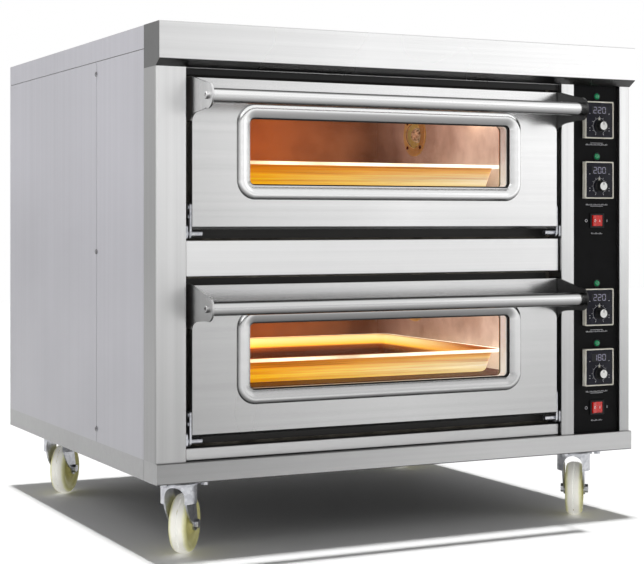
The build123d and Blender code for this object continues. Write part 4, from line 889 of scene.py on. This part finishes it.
def linerScrews(deck):
    # eight small screws round the inner face of each door
    middle, low, high = middleOf(f"{deck}_door_liner")
    half = (high - low) / 2
    spotsX = np.linspace(-1, 1, 4) * (half[0] - 22 * mm)
    spots = [(middle[0] + x, high[1] - 0.05 * mm, middle[2] + z)
             for x in spotsX for z in (-half[2] + 14 * mm, half[2] - 14 * mm)]
    grids = [(place(screwHead(0.72), spot, facing["back"]), False, True) for spot in spots]
    for points, _, _ in grids:
        points[..., 1] = high[1] + (points[..., 1] - high[1]) * 0.6
    makePiece(f"{deck}_liner_screws", f"{deck}_door", finish["zinc"], grids, 28)


def lampScrews():
    # four screws in each lamp ring, on a circle between the cup and the rim
    low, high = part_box("lamp_housings")
    middleY, radius = (low.y + high.y) / 2, 38 * mm
    grids = []
    for z in (low.z + 46 * mm, high.z - 46 * mm):
        for angle in np.arange(4) * math.pi / 2 + math.pi / 4:
            spot = (low.x, middleY + radius * math.cos(angle), z + radius * math.sin(angle))
            grids.append((place(screwHead(0.8), spot, facing["left"]), False, True))
    makePiece("lampRingScrews", "cabinet", finish["hearth"], grids, 28)


panelScrewHeads()
lampScrews()
for deck in decks:
    linerScrews(deck)
print("seals and screws made")

wheel = inMm(radius=52.3, half=16, hubHalf=17.6, bore=5.2, grooveWidth=1.0, grooveDepth=1.3, rimStep=13,
             dish=4.5)


def wheelProfile():
    # half section from the tread's middle outwards, as (radius, across), then mirrored
    radius, half, hubHalf, bore = wheel["radius"], wheel["half"], wheel["hubHalf"], wheel["bore"]
    shoulder, flat = radius - 9 * mm, wheel["grooveWidth"] * 1.4
    tread = [(radius - wheel["grooveDepth"], 0.0), (radius - 0.15 * mm, wheel["grooveWidth"] * 0.8),
             (radius, flat)]
    # a long quarter ellipse from the crown down to the shoulder
    tread += [(shoulder + 9 * mm * math.cos(a), flat + (half - flat) * math.sin(a))
              for a in np.linspace(0, math.pi / 2, 12)[1:]]
    rim, dish = radius - wheel["rimStep"], half - wheel["dish"]
    side = [(rim, half - 0.8 * mm), (rim - 1.5 * mm, half - 1.6 * mm), (rim - 4 * mm, dish),
            (26 * mm, dish - 0.6 * mm), (18.5 * mm, dish), (16.5 * mm, half - 2.5 * mm),
            (15.6 * mm, hubHalf - 0.5 * mm), (15 * mm, hubHalf), (bore + 0.8 * mm, hubHalf),
            (bore, hubHalf - 0.8 * mm)]
    halfSection = tread + side
    return np.array([(r, -x) for r, x in halfSection[1:]][::-1] + halfSection)


def casterWheel(corner):
    # the section turned about the axle, which lies level at the caster's own angle
    body = f"{corner}_caster_wheel"
    centre = hingePoint[f"{corner}_roll"]
    axle = np.array(next(j["axis"] for j in frame["joints"] if j["name"] == f"{corner}_roll"), float)
    up = np.array((0, 0, 1.0))
    axes = np.array((np.cross(up, axle), up, axle))
    points = place(turned(wheelProfile(), 120), centre, axes)
    piece = makePiece(f"{corner}_wheel_tread", body, finish["nylon"],
                      [(points, True, True)], 55)
    # UV x: 0 at the tread's middle, 1 at the hub, along the section
    uv = piece.data.uv_layers.new(name="across")
    loops = np.zeros(len(piece.data.loops), int)
    piece.data.loops.foreach_get("vertex_index", loops)
    coords = np.zeros(len(piece.data.vertices) * 3)
    piece.data.vertices.foreach_get("co", coords)
    local = (coords.reshape(-1, 3) - centre) @ axes.T
    across = np.abs(local[:, 2]) / wheel["hubHalf"]
    inward = 1 - np.linalg.norm(local[:, :2], axis=1) / wheel["radius"]
    share = np.clip(across * 0.55 + inward * 0.9, 0, 1)
    around = np.arctan2(local[:, 1], local[:, 0]) / (2 * math.pi) + 0.5
    uv.data.foreach_set("uv", np.column_stack((share, around))[loops].ravel())
    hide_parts(body)


def swivelRace(corner):
    # pressed upper race: a shallow cup round the top of the fork, under the plate
    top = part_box("caster_plates")[1].z - 3 * mm
    centre = hingePoint[f"{corner}_swivel"]
    profile = np.array([(24, 0.2), (34.5, 0.2), (36, 1.0), (36.5, 2.4), (36.2, 4.2), (35.2, 4.4), (34.6, 2.6),
                        (33.5, 1.2), (24, 0.8)]) * mm
    points = place(turned(profile, 72), (centre[0], centre[1], top + 0.2 * mm), facing["down"])
    makePiece(f"{corner}_swivel_race", "cabinet", finish["zinc"], [(points, True, True)])


for corner in corners:
    casterWheel(corner)
    swivelRace(corner)
print("casters made")

trayShape = inMm(corner=24, rimRoll=2.6, draft=12, rimWidth=12, floorBend=9, wall=1.2)


def bakingTray(deck):
    # one closed section (inset, up) round rounded loops: rolled edge, rim, sloped wall, floor to the middle
    middle, low, high = middleOf(f"{deck}_baking_tray")
    width, depth = high[0] - low[0], high[1] - low[1]
    height = high[2] - low[2]
    t, roll = trayShape["wall"], trayShape["rimRoll"]
    curl = np.linspace(math.radians(-20), math.radians(200), 11)
    rim = [(roll - roll * math.sin(a), height - roll + roll * math.cos(a)) for a in curl[::-1]]
    bend = np.linspace(0, math.pi / 2, 6)
    b, rimIn = trayShape["floorBend"], trayShape["rimWidth"]
    inside = [(rimIn - 1 * mm, height - 0.2 * mm), (rimIn + 1 * mm, height - 1.6 * mm)]
    foot = rimIn + trayShape["draft"]
    inside += [(foot - 1.5 * mm + b * (1 - math.cos(a)), t + b * (1 - math.sin(a))) for a in bend]
    outside = [(i - t * 0.9, max(z - t * 0.9, 0)) for i, z in inside]
    centre = depth / 2 - 0.05 * mm
    rows = []
    for inset, up in [(centre, t)] + inside[::-1] + rim + outside + [(centre, 0)]:
        radius = max(trayShape["corner"] - inset * 0.35, 0.1 * mm)
        w, d = width - 2 * inset, max(depth - 2 * inset, 0.1 * mm)
        loop = roundedLoop(w, d, min(radius, d / 2 - 0.01 * mm), 9)
        rows.append(np.column_stack((loop, np.full(len(loop), up))))
    points = np.array(rows) + np.array((middle[0], middle[1], low[2]))
    tray = makePiece(f"{deck}_drawn_tray", f"{deck}_baking_tray", finish["tray"],
                     [(points, True, True)], 45)
    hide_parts(f"{deck}_baking_tray")


def trayRim(deck):
    # wire rolled into the rim: a circle (r cos a, r sin a) carried round the tray's edge
    middle, low, high = middleOf(f"{deck}_baking_tray")
    turn = np.linspace(0, 2 * math.pi, 14, endpoint=False)
    r = trayShape["rimRoll"] + 0.6 * mm
    profile = np.column_stack((r - 0.9 * mm + r * np.cos(turn), r * np.sin(turn)))
    grid = loopGrid(profile, high[0] - low[0], high[1] - low[1], trayShape["corner"], 12)
    points = grid + np.array((middle[0], middle[1], high[2] - r + 0.5 * mm))
    makePiece(f"{deck}_tray_rim", f"{deck}_baking_tray", finish["rim"],
              [(points, True, True)])


for deck in decks:
    bakingTray(deck)
    trayRim(deck)

louvre = dict(inMm(length=78, height=5, pitch=16, depth=4.5, wall=1.0), count=9)


def louvreHoods():
    # pressed cowl over each slot: out = depth sin(v) (1 - u^6), a second skin inside it closes the sheet
    low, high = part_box("back_panel")
    middleX = (low.x + ovenBay + high.x) / 2
    start = (low.z + high.z + 1 * mm) / 2 - louvre["pitch"] * (louvre["count"] - 1) / 2
    u = np.linspace(-1, 1, 33)
    v = np.linspace(0, math.pi / 2, 8)
    end = np.clip(1 - np.abs(u) ** 6, 0, 1)
    reach = louvre["height"] + 3 * mm

    def skin(depth, grow):
        x = u[:, None] * (louvre["length"] / 2 + grow) * np.ones_like(v)[None]
        out = depth * np.sin(v)[None] * end[:, None]
        up = reach - reach * (1 - np.cos(v))[None] * end[:, None] * 0.9
        return np.stack((x, up * np.ones_like(x), out), -1)

    outer, inner = skin(louvre["depth"], 2.5 * mm), skin(louvre["depth"] - louvre["wall"], 1.2 * mm)
    sheetGrid = np.concatenate((outer, inner[:, ::-1]), 1)
    grids = [(place(sheetGrid, (middleX, high.y, start + i * louvre["pitch"]), facing["back"]), False, True)
             for i in range(louvre["count"])]
    makePiece("louvreHoods", "cabinet", steel["sides"], grids, 40)


louvreHoods()
print("trays and back made")

studio = dict(floorSize=16.0, floorShade="#fbfbfb", skyFront=0.9, skyBack=0.62, skyDiffuse=0.2,
              sunPower=2.9, sunWidth=2.5)
lights = {
    # name: (place, aims at, width, height, power, colour)
    "keyLeft": ((-3.2, -3.6, 3.0), (0, 0, 0.4), 2.4, 2.4, 26, "#ffffff"),
    "fillRight": ((3.6, -3.4, 1.8), (0, 0, 0.5), 2.4, 3.0, 9, "#ffffff"),
    "backLeft": ((-3.4, 2.4, 2.4), (0, 0, 0.5), 2.0, 2.6, 16, "#ffffff"),
}
glow = dict(power=1.4, lampPower=0.12, colour="#ff9a3c", lampColour="#ffe6cc", lampSize=0.02)


def lampAt(name, kind, power, shade, spot):
    # a lamp that lights the oven but is never seen, straight on or through glass
    data = bpy.data.lights.new(name, kind)
    data.energy, data.color = power, colour(shade)[:3]
    lamp = bpy.data.objects.new(name, data)
    lamp.location = spot
    lamp.visible_camera = lamp.visible_transmission = False
    bpy.context.scene.collection.objects.link(lamp)
    return lamp


def areaLight(name, spot, aim, width, height, power, shade):
    lamp = lampAt(name, "AREA", power, shade, spot)
    lamp.data.shape, lamp.data.size, lamp.data.size_y = "RECTANGLE", width, height
    lamp.rotation_euler = (Vector(aim) - Vector(spot)).to_track_quat("-Z", "Y").to_euler()


def chamberLights(deck):
    # warm light from the rods at the back left, and the lamp on the right wall
    middle, low, high = middleOf(f"{deck}_chamber_liner")
    areaLight(f"{deck}_rod_glow", (middle[0] - 0.15, middle[1] + 0.05, high[2] - 30 * mm),
              (middle[0] - 0.2, middle[1] + 0.1, low[2]), 0.36, 0.36, glow["power"], glow["colour"])
    lamp = lampAt(f"{deck}_oven_lamp", "POINT", glow["lampPower"], glow["lampColour"],
                  (high[0] - 80 * mm, middle[1] - 0.12, high[2] - 55 * mm))
    lamp.data.shadow_soft_size = glow["lampSize"]


def floorPlane():
    # a level grid at z = 0
    half = studio["floorSize"] / 2
    side = np.linspace(-half, half, 9)
    x, y = np.meshgrid(side, side, indexing="ij")
    points = np.stack((x, y, np.zeros_like(x)), -1)
    material, tree, shader, _ = newMaterial("mattePaintedFloor")
    setSockets(tree, shader, {"Base Color": colour(studio["floorShade"]), "Roughness": 0.7})
    makePiece("floor", None, material, [(points, False, False)], stage=True)


def overhead():
    # a broad high lamp straight above, which puts the shadow right under the oven
    data = bpy.data.lights.new("overhead", "SUN")
    data.energy, data.angle = studio["sunPower"], math.radians(studio["sunWidth"])
    bpy.context.scene.collection.objects.link(bpy.data.objects.new("overhead", data))


def world():
    # a white room, dimmer behind the oven: strength runs with the direction's y from skyFront to skyBack
    made = bpy.data.worlds.new("softStudio")
    made.use_nodes = True
    tree = made.node_tree
    tree.nodes.clear()
    direction = axesOf(tree, addNode(tree, "ShaderNodeTexCoord").outputs["Generated"])
    strength = remap(tree, direction[1], -0.6, 0.9, studio["skyFront"], studio["skyBack"], True)
    ray = addNode(tree, "ShaderNodeLightPath").outputs
    for kind, level in (("Is Diffuse Ray", studio["skyDiffuse"]), ("Is Camera Ray", 1.0)):
        strength = addNode(tree, "ShaderNodeMix", {"data_type": "FLOAT"},
                           {0: ray[kind], 2: strength, 3: level}).outputs[0]
    sky = addNode(tree, "ShaderNodeBackground", None, {"Color": colour("#ffffff"), "Strength": strength})
    addNode(tree, "ShaderNodeOutputWorld", None, {"Surface": sky.outputs[0]})
    bpy.context.scene.world = made


def camera():
    view = dict(place=(-1.4627, -2.9382, 0.586), turn=-26.06, lens=88.45, shiftX=0.0342, shiftY=-0.0951)
    data = bpy.data.cameras.new("camera")
    data.lens, data.sensor_width = view["lens"], 36.0
    data.shift_x, data.shift_y = view["shiftX"], view["shiftY"]
    data.clip_start, data.clip_end = 0.05, 60.0
    made = bpy.data.objects.new("camera", data)
    made.location = view["place"]
    made.rotation_euler = (math.radians(90), 0, math.radians(view["turn"]))
    bpy.context.scene.collection.objects.link(made)
    bpy.context.scene.camera = made


floorPlane()
overhead()
world()
for name, values in lights.items():
    areaLight(name, *values)
for deck in decks:
    chamberLights(deck)
camera()
bpy.context.scene.view_settings.view_transform = "Standard"
print("studio ready")
